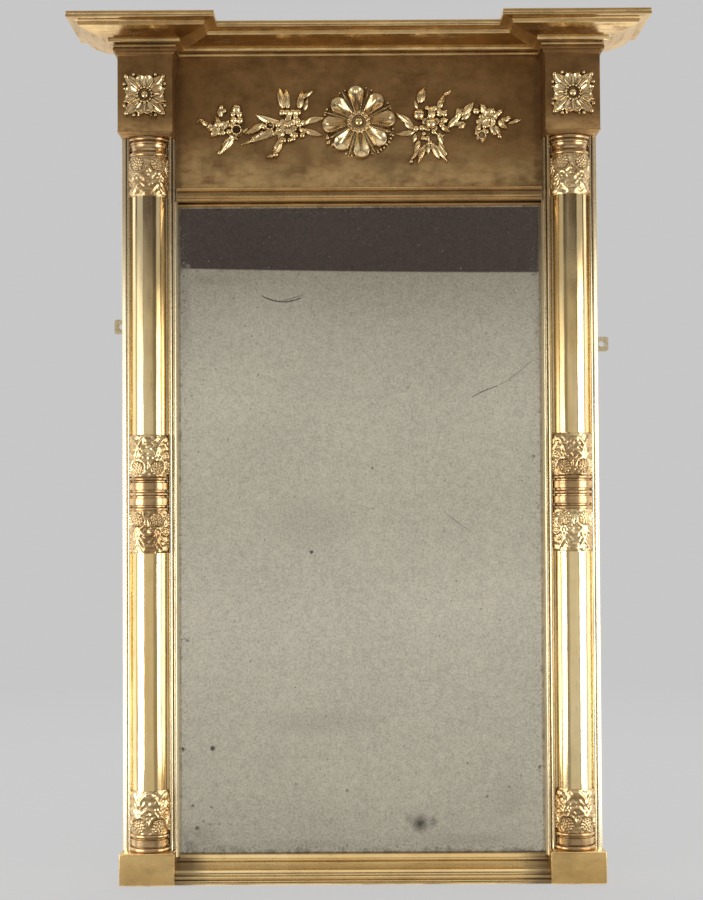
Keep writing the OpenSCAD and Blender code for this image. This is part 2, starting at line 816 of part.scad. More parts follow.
// A domed form: an outline stood on a face and cut by a ball that bulges over it
module domed(outline, t, reach) {
    ball_r = (reach * reach + t * t) / (2 * t);
    intersection() {
        rotate([90, 0, 0]) linear_extrude(t) polygon(outline);
        translate([0, ball_r - t, reach * 0.75]) sphere(r = ball_r, $fn = 180);
    }
}

// A leaf on the face, its stalk at x and z, turned from straight up, with a raised middle
module leaf_at(x, z, turn, l, w, t) {
    translate([x, 0, z]) rotate([0, turn, 0]) domed(leaf_outline(l, w, 6), t, l);
}

// A berry or a bead on a short neck, standing at least its own radius off the face
module berry_at(x, z, r, rise) {
    translate([x, 0, z]) {
        rotate([90, 0, 0]) cylinder(h = rise, r = r * 0.8);
        translate([0, -max(rise, r), 0]) sphere(r = r);
    }
}

// A domed blossom of round petals about a raised eye
module blossom_at(x, z, r, petals, t) {
    petal_r = r * 0.42;
    ball_r = (r * r + t * t) / (2 * t);
    translate([x, 0, z]) {
        intersection() {
            rotate([90, 0, 0])
                linear_extrude(t) {
                    circle(r = r * 0.6);
                    for (i = [0:petals - 1])
                        rotate(360 * i / petals) translate([0, r - petal_r]) circle(r = petal_r);
                }
            translate([0, ball_r - t - 1, 0]) sphere(r = ball_r, $fn = 180);
        }
        berry_at(0, 0, r * 0.28, t);
    }
}

flower_z = (head_top + cornice_z) / 2 + 1;
boss_r = flower_r * 0.27;

// Eight spoon petals over a ring of leaf tips, with a beaded boss
module centre_flower() color(GILT) translate([0, y(carcase_t), 0]) {
    translate([0, 0, flower_z]) {
        for (i = [0:7]) {
            rotate([0, 45 * i + 22.5, 0])
                domed(leaf_outline(flower_r * 0.98, flower_r * 0.3), flower_t * 0.5, flower_r);
            rotate([0, 45 * i, 0])
                difference() {
                    rotate([90, 0, 0])
                        linear_extrude(flower_t) polygon(petal_outline(flower_r * 0.1, flower_r, flower_r * 0.5));
                    translate([0, -flower_t - flower_r * 0.42, flower_r * 0.72])
                        sphere(r = flower_r * 0.48, $fn = 144);
                }
        }
        rotate([90, 0, 0]) cylinder(h = flower_t + 1, r = boss_r);
        for (a = [0:30:359])
            berry_at(boss_r * cos(a), boss_r * sin(a), flower_r * 0.055, flower_t + 0.6);
        berry_at(0, 0, flower_r * 0.13, flower_t + 1);
    }
}

inner_spray_x = block_in * inner_spray_share;
outer_spray_x = block_in * outer_spray_share;
spray_k = inner_spray_x / 78;

// Leaves of the sprays: place across and up from the middle, turn, length and width
INNER_LEAVES_LEFT = [
    [-4, 8, -16, 31, 9], [1, 9, 2, 26, 8], [12, 8, 12, 30, 9], [16, 6, 30, 20, 7],
    [-10, 2, -86, 34, 10], [-10, -4, -112, 28, 9], [-8, -8, -148, 26, 9], [12, 2, 76, 25, 9], [12, -6, 112, 22, 8]
];
INNER_LEAVES_RIGHT = [
    [-7, 9, -8, 27, 10], [13, 8, 17, 28, 9], [-5, -9, -158, 34, 9], [-1, -10, -178, 33, 9],
    [7, -9, 160, 33, 9], [14, 1, 62, 29, 9], [-12, 4, -74, 24, 8], [-12, -5, -110, 23, 8]
];
OUTER_LEAVES_LEFT = [
    [10, 4, 2, 18, 9], [-6, 4, -8, 17, 8], [-7, -5, 190, 28, 9],
    [12, 1, 82, 13, 6], [-14, 2, -78, 20, 6], [-10, -5, 222, 15, 7]
];
OUTER_LEAVES_RIGHT = [
    [6, 3, 70, 24, 8], [-6, 4, -60, 24, 8], [8, 1, 98, 24, 7],
    [-5, -5, 200, 20, 8], [6, -5, 156, 18, 8], [-12, 5, -38, 13, 7]
];
// Berries: place across and up, and radius
INNER_BERRIES_LEFT = [[-9, 13, 2.8], [-3, 12, 3], [4, 14, 3], [10, 13, 2.8], [7, -13, 2.8], [13, -11, 2.8]];
INNER_BERRIES_RIGHT = [[-13, 7, 2.8], [-10, -13, 2.8], [11, -12, 2.8], [-3, -15, 2.6]];
OUTER_BERRIES_LEFT = [
    [-17, -4, 2.6], [-13, -8, 2.6], [-2, -7, 2.6], [2, 6, 2.6], [10, 18, 3.2], [-6, 16, 2.8], [6, -6, 2.4]
];
OUTER_BERRIES_RIGHT = [
    [-9, -19, 2.8], [-6, -14, 2.8], [-10, -12, 2.6], [9, -16, 2.6], [6, -11, 2.6],
    [12, -3, 2.6], [-12, 7, 3], [-4, 9, 3], [4, 9, 2.6]
];

module spray(x, leaves, berries) color(GILT) {
    translate([x, y(carcase_t), flower_z])
        scale(spray_k) {
            for (l = leaves) leaf_at(l[0], l[1], l[2], l[3], l[4], spray_t);
            for (b = berries) berry_at(b[0], b[1], b[2], spray_t * 0.7);
            children();
        }
}

module left_inner_spray() {
    spray(-inner_spray_x, INNER_LEAVES_LEFT, INNER_BERRIES_LEFT) blossom_at(0, 0, 15, 6, spray_t + 1);
}

module right_inner_spray() {
    spray(inner_spray_x, INNER_LEAVES_RIGHT, INNER_BERRIES_RIGHT) blossom_at(0, 0, 15, 5, spray_t + 1);
}

module left_outer_spray() {
    spray(-outer_spray_x, OUTER_LEAVES_LEFT, OUTER_BERRIES_LEFT) {
        blossom_at(-10, 0, 9.5, 5, spray_t);
        blossom_at(9, 0, 9.5, 5, spray_t);
    }
}

module right_outer_spray() {
    spray(outer_spray_x, OUTER_LEAVES_RIGHT, OUTER_BERRIES_RIGHT) blossom_at(-1, 0, 10, 5, spray_t);
}

// A heart-shaped petal of the rosette, its point at the middle
function heart_outline(l, w) = concat(
    [[0, l * 0.12]],
    arc([w / 4, l * 0.72], w / 4, -40, 150, 6),
    arc([-w / 4, l * 0.72], w / 4, 30, 220, 6)
);

rosette_z = (die_z + cornice_z - neck_h) / 2;

// Four heart-shaped petals over four diagonal leaves, with a beaded boss
module rosette(side) color(GILT) translate([0, y(block_front), 0]) {
    translate([side * (block_out + block_in) / 2, 0, rosette_z]) {
        for (i = [0:3]) {
            rotate([0, 45 + 90 * i, 0])
                domed(leaf_outline(rosette_w * 0.68, rosette_w * 0.3), rosette_t * 0.7, rosette_w * 0.68);
            rotate([0, 90 * i, 0])
                difference() {
                    rotate([90, 0, 0])
                        linear_extrude(rosette_t) polygon(heart_outline(rosette_w * 0.5, rosette_w * 0.48));
                    for (s = [-1, 1])
                        translate([s * rosette_w * 0.11, -rosette_t - rosette_w * 0.09, rosette_w * 0.35])
                            sphere(r = rosette_w * 0.13, $fn = 96);
                }
        }
        rotate([90, 0, 0]) cylinder(h = rosette_t, r = rosette_w * 0.11);
        for (a = [0:45:359])
            berry_at(rosette_w * 0.11 * cos(a), rosette_w * 0.11 * sin(a), rosette_w * 0.036, rosette_t);
        berry_at(0, 0, rosette_w * 0.07, rosette_t);
    }
}

module left_rosette() { rosette(-1); }
module right_rosette() { rosette(1); }

/* Hanging plates */

// The brass plate on the left, or on the right drawn as if it were on the left
module hanging_plate(side) color(BRASS) {
    hole_x = -plate_hole_x(side);
    corner_x = hole_x - plate_w / 2 + plate_corner_r;
    corner_z = plate_w / 2 - plate_corner_r;
    difference() {
        union() {
            block(
                corner_x, -stile_out + plate_on_stile, 0, plate_t,
                plate_z(side) - plate_w / 2, plate_z(side) + plate_w / 2
            );
            block(
                corner_x - plate_corner_r, corner_x + 1, 0, plate_t,
                plate_z(side) - corner_z, plate_z(side) + corner_z
            );
            for (up = [-1, 1])
                depth_rod(corner_x, plate_z(side) + up * corner_z, 0, plate_t, plate_corner_r);
        }
        depth_rod(hole_x, plate_z(side), -eps, plate_t + eps, plate_hole_r);
        mirror([1, 0, 0]) {
            screw_holes(side, joint_gap, plate_t + eps);
            for (i = [0, 1]) screw_head(screw_x(i), plate_z(side), joint_gap);
        }
    }
}

// A countersunk head, flush with the back of the plate
module screw_head(x, z, grow) {
    translate([x, y(0), z])
        rotate([90, 0, 0])
            cylinder(h = plate_t * 0.8, r1 = screw_head_r + grow, r2 = screw_r + grow);
}

module left_hanging_plate() { hanging_plate(-1); }
module right_hanging_plate() { mirror([1, 0, 0]) hanging_plate(1); }

module hanging_plate_screws() color(IRON) {
    slot_w = screw_r / 2;
    for (side = [-1, 1], i = [0, 1])
        difference() {
            union() {
                screw_head(side * screw_x(i), plate_z(side), 0);
                depth_rod(side * screw_x(i), plate_z(side), 0, screw_l, screw_r);
            }
            block(
                side * screw_x(i) - screw_head_r - eps, side * screw_x(i) + screw_head_r + eps,
                -eps, slot_w, plate_z(side) - slot_w / 2, plate_z(side) + slot_w / 2
            );
        }
}

left_stile();
right_stile();
top_rail();
frieze_rail();
bottom_rail();
joint_pegs();
frieze_panel();
mirror_plate();
glazing_blocks();
backboard_upper();
backboard_middle();
backboard_lower();
backboard_nails();
left_pilaster_moulding();
right_pilaster_moulding();
head_moulding();
bottom_moulding();
left_plinth();
right_plinth();
left_die();
right_die();
left_base_rings();
left_base_leaves();
left_lower_shaft();
left_lower_collar();
left_reel();
left_upper_collar();
left_upper_shaft();
left_capital_leaves();
left_capital_rings();
right_base_rings();
right_base_leaves();
right_lower_shaft();
right_lower_collar();
right_reel();
right_upper_collar();
right_upper_shaft();
right_capital_leaves();
right_capital_rings();
cornice_centre();
left_cornice_front();
right_cornice_front();
left_cornice_outer_return();
right_cornice_outer_return();
left_cornice_inner_return();
right_cornice_inner_return();
top_board();
left_break_board();
right_break_board();
cornice_glue_blocks();
left_rosette();
right_rosette();
centre_flower();
left_inner_spray();
right_inner_spray();
left_outer_spray();
right_outer_spray();
left_hanging_plate();
right_hanging_plate();
hanging_plate_screws();
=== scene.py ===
"""Looks of a gilded pier mirror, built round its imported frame: mouldings, half columns, cast ornament, old glass."""

import math

import bpy
import numpy as np
from mathutils import Matrix, Vector, noise


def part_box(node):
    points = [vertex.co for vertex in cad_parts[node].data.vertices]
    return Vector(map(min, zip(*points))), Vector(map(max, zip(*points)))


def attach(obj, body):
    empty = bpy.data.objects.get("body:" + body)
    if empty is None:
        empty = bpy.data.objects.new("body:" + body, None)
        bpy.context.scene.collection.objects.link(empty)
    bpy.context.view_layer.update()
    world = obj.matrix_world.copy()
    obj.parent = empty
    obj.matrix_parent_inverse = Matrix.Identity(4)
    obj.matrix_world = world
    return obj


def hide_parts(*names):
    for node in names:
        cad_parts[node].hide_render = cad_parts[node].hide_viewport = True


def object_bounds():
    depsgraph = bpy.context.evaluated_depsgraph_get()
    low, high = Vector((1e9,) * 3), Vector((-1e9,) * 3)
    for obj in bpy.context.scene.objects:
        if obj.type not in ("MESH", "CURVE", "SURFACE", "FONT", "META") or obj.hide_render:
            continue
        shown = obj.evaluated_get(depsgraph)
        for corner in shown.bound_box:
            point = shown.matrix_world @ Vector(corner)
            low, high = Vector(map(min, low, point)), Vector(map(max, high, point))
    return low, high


bl_info = {
    "name": "Gilded Pier Mirror",
    "version": (1, 0, 0),
    "blender": (4, 5, 0),
    "location": "View3D > Sidebar > Pier Mirror",
    "description": "Gilded mouldings, half columns, composition ornament and old glass on a pier mirror's frame",
    "category": "Object",
}

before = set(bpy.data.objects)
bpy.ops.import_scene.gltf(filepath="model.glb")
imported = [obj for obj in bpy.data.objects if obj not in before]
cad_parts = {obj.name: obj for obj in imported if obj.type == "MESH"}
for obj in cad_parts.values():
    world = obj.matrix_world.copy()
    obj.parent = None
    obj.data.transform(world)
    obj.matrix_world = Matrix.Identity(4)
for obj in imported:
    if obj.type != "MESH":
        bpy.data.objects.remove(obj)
CAD_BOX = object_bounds()
BACK = CAD_BOX[1][1]
MM = 0.001

# Without a seed the offsets of the vector noise differ from one session to the next
noise.seed_set(1)


def linear(code):
    """An sRGB hex colour as linear light."""
    parts = [int(code[i : i + 2], 16) / 255 for i in (0, 2, 4)]
    return tuple(v / 12.92 if v <= 0.04045 else ((v + 0.055) / 1.055) ** 2.4 for v in parts) + (1.0,)


def colour_prop(name, code, description):
    return bpy.props.FloatVectorProperty(
        name=name, description=description, subtype="COLOR", size=4, min=0, max=1, default=linear(code)
    )


def size_prop(name, mm, description, low=0.0, high=100.0):
    return bpy.props.FloatProperty(
        name=name, description=description, default=mm * MM, min=low * MM, max=high * MM, unit="LENGTH", precision=5
    )


class GildingSettings(bpy.types.PropertyGroup):
    leaf: colour_prop("Leaf", "EAD9B0", "Burnished gold leaf")
    deep_leaf: colour_prop("Deep leaf", "E0BD7C", "Gold leaf where it is thinner over the bole")
    bole: colour_prop("Bole", "8A5634", "Red-brown clay that shows where the leaf is rubbed through")
    # The colour of old size and settled soiling, also painted into the hollows as shade
    grime_and_shade: colour_prop("Grime", "4A3116", "Dust and old size that settled in the hollows")
    # The toning colour is also painted higher up on the frieze, the corner blocks and the mouldings beside the glass,
    # as shade
    tone: colour_prop("Tone", "8A663E", "Brown size that was brushed over the gold to tone it down")
    matt_leaf: colour_prop("Matt leaf", "E0BC86", "Oil-gilt ground of the frieze and the corner blocks")
    lap: size_prop("Leaf", 80, "Side of a leaf of gold", 60, 100)


class ColumnSettings(bpy.types.PropertyGroup):
    relief: size_prop("Relief", 2.7, "Height of the leaves and flower heads over the body of a collar", 1, 4)
    unevenness: size_prop("Unevenness", 0.12, "How far the hand-smoothed gesso wanders from a true line", 0, 1)


class OrnamentSettings(bpy.types.PropertyGroup):
    flower_rise: size_prop("Flower", 9, "Height of the middle flower's petals over the frieze", 3, 12)
    spray_rise: size_prop("Sprays", 8, "Height of the sprays over the frieze", 2, 10)
    rosette_rise: size_prop("Rosettes", 6.2, "Height of the rosettes over the corner blocks", 2, 8)
    grain: size_prop("Detail", 0.42, "Spacing of the points that hold the modelling of the ornament", 0.3, 1)


class GlassSettings(bpy.types.PropertyGroup):
    silver: colour_prop("Silvering", "C9C4B8", "Tin and mercury amalgam behind old greyish glass")
    fault: colour_prop("Faults", "2A241E", "Spots and scratches where the amalgam is gone")
    edge: colour_prop("Edge tarnish", "6B635C", "Tarnish that creeps in from the edges of the plate")


class StageSettings(bpy.types.PropertyGroup):
    pale: colour_prop("Background", "C7C7C7", "Pale grey of the floor and of the background")
    lens: bpy.props.FloatProperty(name="Lens", description="Focal length of the camera", default=74.73, unit="CAMERA")


class PierMirrorSettings(bpy.types.PropertyGroup):
    gilding: bpy.props.PointerProperty(type=GildingSettings, name="Gilding", description="Finish of the gilt work")
    column: bpy.props.PointerProperty(type=ColumnSettings, name="Columns", description="Shape of the columns")
    ornament: bpy.props.PointerProperty(type=OrnamentSettings, name="Ornament", description="Cast ornament")
    glass: bpy.props.PointerProperty(type=GlassSettings, name="Glass", description="Finish of the mirror plate")
    stage: bpy.props.PointerProperty(type=StageSettings, name="Stage", description="Camera, floor and light")


def settings():
    return bpy.context.scene.pier_mirror


# Places in the frame, in millimetres: x across, depth forwards from the back, z up


def span(node):
    """The lowest and highest x, depth and z of a node, in millimetres."""
    low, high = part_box(node)
    return (
        (low[0] / MM, high[0] / MM),
        ((BACK - high[1]) / MM, (BACK - low[1]) / MM),
        (low[2] / MM, high[2] / MM),
    )


def tall(node):
    """The height of a node, in millimetres."""
    low, high = span(node)[2]
    return high - low


def place(x, depth, z):
    return (x * MM, BACK - depth * MM, z * MM)


def wander(point, reach, amount):
    """A smooth offset that is the same in each run: point and reach in millimetres."""
    return noise.noise_vector(Vector(point) / reach) * amount


# Modelling


def edit(action="SELECT"):
    """Goes to edit mode with everything selected, or nothing."""
    bpy.ops.object.mode_set(mode="EDIT")
    bpy.ops.mesh.select_all(action=action)


def begin(kind, **values):
    """Adds a primitive with nothing else selected, and stays in edit mode."""
    if bpy.context.object and bpy.context.object.mode != "OBJECT":
        bpy.ops.object.mode_set(mode="OBJECT")
    bpy.ops.object.select_all(action="DESELECT")
    getattr(bpy.ops.mesh, f"primitive_{kind}_add")(**values)
    edit()
    return bpy.context.object


def end(piece, name, replaced, material, angle=40):
    """Smooths a finished piece and puts it on the frame in place of a node."""
    if piece.mode != "OBJECT":
        bpy.ops.object.mode_set(mode="OBJECT")
    piece.name = name
    piece.data.name = name
    bpy.ops.object.shade_smooth_by_angle(angle=math.radians(angle))
    piece.data.materials.clear()
    piece.data.materials.append(material)
    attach(piece, "root")
    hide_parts(replaced)


def section(points):
    """A flat face with the outline of a moulding, selected and ready to be extruded or spun."""
    piece = begin("circle", vertices=len(points), radius=0.01, fill_type="NGON")
    bpy.ops.object.mode_set(mode="OBJECT")
    for point, where in zip(piece.data.vertices, points):
        point.co = where
    edit()
    return piece


def extrude(step, times=1):
    for _ in range(times):
        bpy.ops.mesh.extrude_region_move(TRANSFORM_OT_translate={"value": step})


def rim_out(step):
    """Extrudes the open rim of a grid."""
    edit("DESELECT")
    bpy.ops.mesh.select_non_manifold()
    extrude(step)


def closed():
    """Merges doubles, turns the faces outwards and goes back to object mode."""
    bpy.ops.mesh.select_all(action="SELECT")
    bpy.ops.mesh.remove_doubles(threshold=1e-6)
    bpy.ops.mesh.normals_make_consistent(inside=False)
    bpy.ops.object.mode_set(mode="OBJECT")


def points_of(piece):
    found = np.empty(len(piece.data.vertices) * 3)
    piece.data.vertices.foreach_get("co", found)
    return found.reshape(-1, 3)


def note_hollows(piece, values):
    """Keeps, for each point, how deep it lies in a hollow, for the soiling and painted shade in the material."""
    attribute = piece.data.attributes.new("hollow", "FLOAT", "POINT")
    attribute.data.foreach_set("value", np.asarray(values, dtype=np.float32))


def closed_in(outline, reach=3.6):
    """How closed in each point of a section is: 0 in the open, 1 at the bottom of a narrow groove. Each point sends
    out a fan of rays, and counts how many of them meet the section within reach, and how soon."""
    fan, clear, tiny = np.radians(np.linspace(-78, 78, 15)), 0.04, 1e-9
    points = np.array(outline, dtype=float)
    after = np.roll(points, -1, axis=0)
    turn = 1 if np.sum(points[:, 0] * after[:, 1] - after[:, 0] * points[:, 1]) > 0 else -1
    edges = after - points
    lengths = np.linalg.norm(edges, axis=1)[:, None] + tiny
    faces = np.stack([edges[:, 1], -edges[:, 0]], axis=1) / lengths * turn
    result = []
    for start, normal in zip(points, faces + np.roll(faces, 1, axis=0)):
        angle = math.atan2(normal[1], normal[0])
        gap = points - (start + clear * np.array([math.cos(angle), math.sin(angle)]))
        stopped = 0.0
        for turned in fan:
            ray = np.array([math.cos(angle + turned), math.sin(angle + turned)])
            across = ray[0] * edges[:, 1] - ray[1] * edges[:, 0]
            across = np.where(np.abs(across) < tiny, tiny, across)
            t = (gap[:, 0] * edges[:, 1] - gap[:, 1] * edges[:, 0]) / across
            s = (gap[:, 0] * ray[1] - gap[:, 1] * ray[0]) / across
            hit = t[(t > clear / 2) & (t < reach) & (s >= 0) & (s <= 1)]
            if len(hit):
                stopped += math.cos(turned) * (1 - 0.6 * hit.min() / reach)
        result.append(stopped / np.sum(np.cos(fan)))
    return result


def hollows_along(piece, outline, depths, u, v):
    """Gives each point of an extruded or spun piece the depth noted for its place in the section. u and v find its
    place there from its x, its depth and its z, in millimetres."""
    x, y, z = points_of(piece).T / MM
    places = np.stack([u(x, BACK / MM - y), v(BACK / MM - y, z)], axis=1)
    flat = np.array(outline)
    note_hollows(piece, [depths[int(np.argmin(np.sum((flat - point) ** 2, axis=1)))] for point in places])


# Sections of the mouldings, in millimetres


def arc(u, v, r, start, stop, count=9):
    """Points of an arc about (u, v), from one angle in degrees to another."""
    angles = [math.radians(start + (stop - start) * i / (count - 1)) for i in range(count)]
    return [(u + r * math.cos(a), v + r * math.sin(a)) for a in angles]


def pilaster_outline(width, back, ground):
    """The moulding beside the glass: across from its outer side, and depth."""
    fillet, lip = 4.8, ground - 1.6
    sight = width - 3.2
    bead = sight - 4.6
    return (
        [(0, back), (0, ground - 0.4), (0.25, ground + 0.2), (1.4, ground + 1.05), (2.8, ground + 1.75)]
        + [(fillet - 0.7, ground + 2.3), (fillet, ground + 2.3), (fillet + 0.4, ground + 1.7)]
        + [(fillet + 0.7, ground + 0.7)]
        + arc(7.5, ground + 0.7, 1.9, 185, -25)
        + [(9.9, ground - 0.4), (10.6, ground)]
        + [(u, ground) for u in (16, 22, 30, 38, 44)]
        + [(bead - 2.8, ground), (bead - 2.3, ground - 0.4)]
        + arc(bead, ground + 0.8, 2.0, 205, -35)
        + [(bead + 2.4, lip - 0.4)]
        + arc(sight, lip + 0.8, 1.8, 205, -25)
        + [(width, lip - 0.2), (width, back)]
    )


def head_outline(foot, top, back, ground):
    """The moulding between glass and frieze: depth, and height."""
    front, edge = ground + 4, ground - 13.5
    return (
        [(back, foot)]
        + arc(edge, foot + 1.8, 1.8, -90, 75)
        + [(edge + 1.4, foot + 3.7), (ground - 2.0, foot + 3.6), (ground - 1.5, foot + 3.3)]
        + arc(ground + 0.6, foot + 5.0, 1.8, -110, 70)
        + [(front - 2.6, foot + 6.9), (front - 2.4, foot + 7.6), (front - 2.5, foot + 10), (front - 2.6, foot + 13.0)]
        + [(front - 3.0, foot + 13.4), (front - 2.4, foot + 13.9), (front - 0.8, foot + 14.2)]
        + [(front - 0.2, foot + 14.9), (front, foot + 15.2), (front, top - 1.7), (front - 0.45, top - 0.7)]
        + [(front - 1.1, top - 0.15), (front - 1.9, top), (back, top)]
    )


def bottom_outline(top, back, front):
    """The moulding below the glass: depth, and height."""
    edge = span("head_moulding")[1][1] - 17.5
    rear = edge + 7.0
    cove = [
        (rear + (front - 6.2 - rear) * (1 - math.sin(a)), 14.4 + (top - 20.4) * (1 - math.cos(a)))
        for a in np.linspace(0, 1.32, 12)
    ]
    return (
        [(back, 0), (front - 0.6, 0), (front, 0.6), (front, 3.6), (front - 0.5, 4.3), (front - 2.0, 4.7)]
        + arc(front - 2.6, 6.9, 2.0, -70, 110)
        + [(front - 4.4, 9.1), (front - 4.3, 10.2), (front - 4.6, 12.4), (front - 5.6, 13.8)]
        + cove
        + arc(edge + 5.0, top - 5.3, 1.6, -60, 100)
        + [(edge + 2.6, top - 3.5), (edge + 2.2, top - 2.8), (edge + 0.8, top - 0.6), (edge, top), (back, top)]
    )


def cornice_outline(rise, reach):
    """The cornice: distance out from the face it stands on, and height over its foot."""
    fascia = rise - 3.6
    bed, inner, outer = 8.4, 13.5, reach - 11.5
    curve = []
    for s in np.linspace(0.08, 1, 10):
        curve.append((inner + s * (outer - inner), bed + (fascia - 5.6 - bed) * (0.6 * s + 0.4 * s * s)))
    crown = [
        (outer + 6.4 * (1 - math.cos(a)), fascia - 5.4 + 4.8 * math.sin(a)) for a in np.linspace(0.2, math.pi / 2, 6)
    ]
    return (
        [(-10, 0), (2.0, 0)]
        + arc(2.2, 1.9, 1.9, -80, 95)
        + [(2.3, 4.2), (2.8, 4.5), (7.9, 4.7), (8.6, 5.3), (8.8, bed - 0.9), (9.4, bed - 0.4), (inner - 0.6, bed)]
        + curve
        + crown
        + [(reach - 3.4, fascia - 0.3), (reach - 0.8, fascia), (reach - 0.2, fascia + 0.4), (reach, fascia + 1)]
        + [(reach, rise - 0.6), (reach - 0.3, rise), (-10, rise)]
    )


def ring_bead(low, high, radius):
    """A half-round ring of a turning: radius, and height."""
    half = (high - low) / 2
    angles = np.linspace(-1.45, 1.45, 9)
    return [(radius - half + half * math.cos(a), (low + high) / 2 + half * math.sin(a)) for a in angles]


def flat_band(low, high, radius, ease=0.5):
    return [(radius - ease, low), (radius, low + ease), (radius, high - ease), (radius - ease, high)]


# Relief of the cast ornament: each function gives the height of one form over its ground, on a grid of places


def smooth(value, low, high):
    t = np.clip((value - low) / (high - low), 0, 1)
    return t * t * (3 - 2 * t)


def leaf_form(X, Z, x, z, turn, length, width, bend, rise, ribs=0.16):
    """A pointed leaf with a sunk midrib and long ribs, its stalk at x and z, turned from straight up."""
    c, s = math.cos(math.radians(turn)), math.sin(math.radians(turn))
    along = (X - x) * s + (Z - z) * c
    t = np.clip(along / length, 0, 1)
    across = (X - x) * c - (Z - z) * s - bend * length * t * t
    half = width / 2 * np.power(np.sin(np.pi * np.power(t * 0.96 + 0.04, 0.8)), 0.7) + 1e-4
    edge = np.abs(across) / half
    body = np.clip(1 - edge**1.5, 0, 1)
    top = rise * (0.62 + 0.38 * np.sin(np.pi * np.power(t, 0.8)))
    form = top * (0.14 + 0.86 * body)
    form += top * ribs * np.cos(2.5 * np.pi * np.clip(edge, 0, 1)) * smooth(t, 0.0, 0.2) * (1 - smooth(t, 0.8, 1))
    form -= top * 0.30 * np.exp(-((across / (0.07 * width)) ** 2)) * (1 - smooth(t, 0.75, 0.95))
    inside = (along > 0) & (along < length) & (edge < 1)
    return np.where(inside, np.maximum(form, 0.2), 0)


def dome_form(X, Z, x, z, radius, rise):
    """A berry or a bead: a ball sunk to its middle in a short neck."""
    q = 1 - ((X - x) ** 2 + (Z - z) ** 2) / radius**2
    neck = max(0.0, rise - radius)
    return np.where(q > 0, neck + min(rise, radius) * np.sqrt(np.clip(q, 0, 1)), 0)


def cup_form(X, Z, x, z, radius, rise):
    """An open calyx: a thick round rim about a hollow."""
    far = np.hypot(X - x, Z - z) / radius
    rim = np.exp(-(((far - 0.72) / 0.24) ** 2))
    wave = 0.9 + 0.1 * np.cos(6 * np.arctan2(Z - z, X - x))
    return np.where(far < 1.1, rise * rim * wave, 0)


def curl_form(X, Z, x, z, radius, start, stop, width, rise):
    """A tapering tendril along an arc about x and z, thick at its start."""
    angle = np.degrees(np.arctan2(Z - z, X - x))
    direction = 1 if stop > start else -1
    share = (((angle - start) * direction) % 360) / abs(stop - start)
    half = width / 2 * (1.05 - 0.75 * np.clip(share, 0, 1))
    q = 1 - ((np.hypot(X - x, Z - z) - radius) / half) ** 2
    return np.where((share <= 1) & (q > 0), rise * (1.0 - 0.35 * share) * np.sqrt(np.clip(q, 0, 1)), 0)


def blossom_form(X, Z, x, z, radius, petals, rise, turn=0.0):
    """Cupped petals in a ring round a raised eye."""
    far = np.hypot(X - x, Z - z)
    wave = np.abs(np.cos(petals / 2 * (np.arctan2(Z - z, X - x) - math.radians(turn))))
    edge = radius * (0.60 + 0.40 * np.power(wave, 0.55))
    share = np.clip(far / edge, 0, 1)
    form = rise * (0.30 + 0.62 * np.power(share, 1.6)) * (0.5 + 0.5 * np.power(wave, 0.5))
    form *= np.power(np.clip((1 - share) / 0.16, 0, 1), 0.5)
    form = np.where(far < edge, np.maximum(form, 0.2), 0)
    return np.maximum(form, dome_form(X, Z, x, z, radius * 0.26, rise * 0.9))


def daisy_form(X, Z, x, z, radius, rise):
    """A flower head seen full on: a low button set with rings of small beads."""
    q = 1 - ((X - x) ** 2 + (Z - z) ** 2) / radius**2
    form = np.where(q > 0, rise * (0.30 + 0.35 * np.sqrt(np.clip(q, 0, 1))), 0)
    form = np.maximum(form, dome_form(X, Z, x, z, radius * 0.24, rise * 1.05))
    for ring, count in ((0.46, 6), (0.82, 11)):
        for k in range(count):
            a = (k + 0.5 * ring) * math.tau / count
            bead_x, bead_z = x + radius * ring * math.cos(a), z + radius * ring * math.sin(a)
            form = np.maximum(form, dome_form(X, Z, bead_x, bead_z, radius * 0.19, rise))
    return form


def spoon_form(X, Z, turn, inner, outer, width, rise):
    """A hollowed spoon-shaped petal from one radius to another, with a raised rim and a keel."""
    c, s = math.cos(math.radians(turn)), math.sin(math.radians(turn))
    along, across = X * s + Z * c, X * c - Z * s
    bowl = outer - width / 2
    t = np.clip((along - inner) / (bowl - inner), 0, 1)
    half = width / 2 * (0.34 + 0.66 * np.power(t, 1.2))
    edge = np.where(along > bowl, np.hypot(across, along - bowl) / (width / 2), np.abs(across) / half)
    inside = (edge < 1) & (along > inner)
    reach = np.clip((along - inner) / (outer - inner), 0, 1)
    arch = 0.62 + 0.38 * np.sin(np.pi * (0.08 + 0.80 * reach))
    form = rise * arch * (0.40 + 0.60 * np.power(np.clip(edge, 0, 1), 1.7))
    keel = smooth(along, inner, inner + 4) * (1 - smooth(along, bowl, outer - 3))
    form -= rise * 0.12 * np.exp(-((across / 1.2) ** 2)) * keel
    form *= np.power(np.clip((1 - edge) / 0.14, 0, 1), 0.5)
    return np.where(inside, np.maximum(form, 0.2), 0)


def heart_form(X, Z, turn, inner, length, width, rise):
    """A heart-shaped petal of two hollowed lobes with rolled rims, its point at the middle."""
    c, s = math.cos(math.radians(turn)), math.sin(math.radians(turn))
    along, side = X * s + Z * c, X * c - Z * s
    lobe = width * 0.31
    form = np.zeros_like(X)
    for hand in (-1, 1):
        x, z = hand * lobe * 0.66, length - lobe
        lean = math.atan2(x, z - inner)
        u = side * math.sin(lean) + (along - inner) * math.cos(lean)
        v = side * math.cos(lean) - (along - inner) * math.sin(lean)
        reach = math.hypot(x, z - inner)
        t = np.clip(u / reach, 0, 1)
        half = lobe * (0.30 + 0.70 * np.power(t, 0.9))
        edge = np.where(u > reach, np.hypot(v, u - reach) / lobe, np.abs(v) / half)
        lift = rise * (0.40 + 0.60 * np.power(np.clip(edge, 0, 1), 2.0)) * (0.66 + 0.34 * t)
        lift *= np.power(np.clip((1 - edge) / 0.14, 0, 1), 0.4)
        form = np.maximum(form, np.where((edge < 1) & (u > 0), np.maximum(lift, 0.2), 0))
    return form


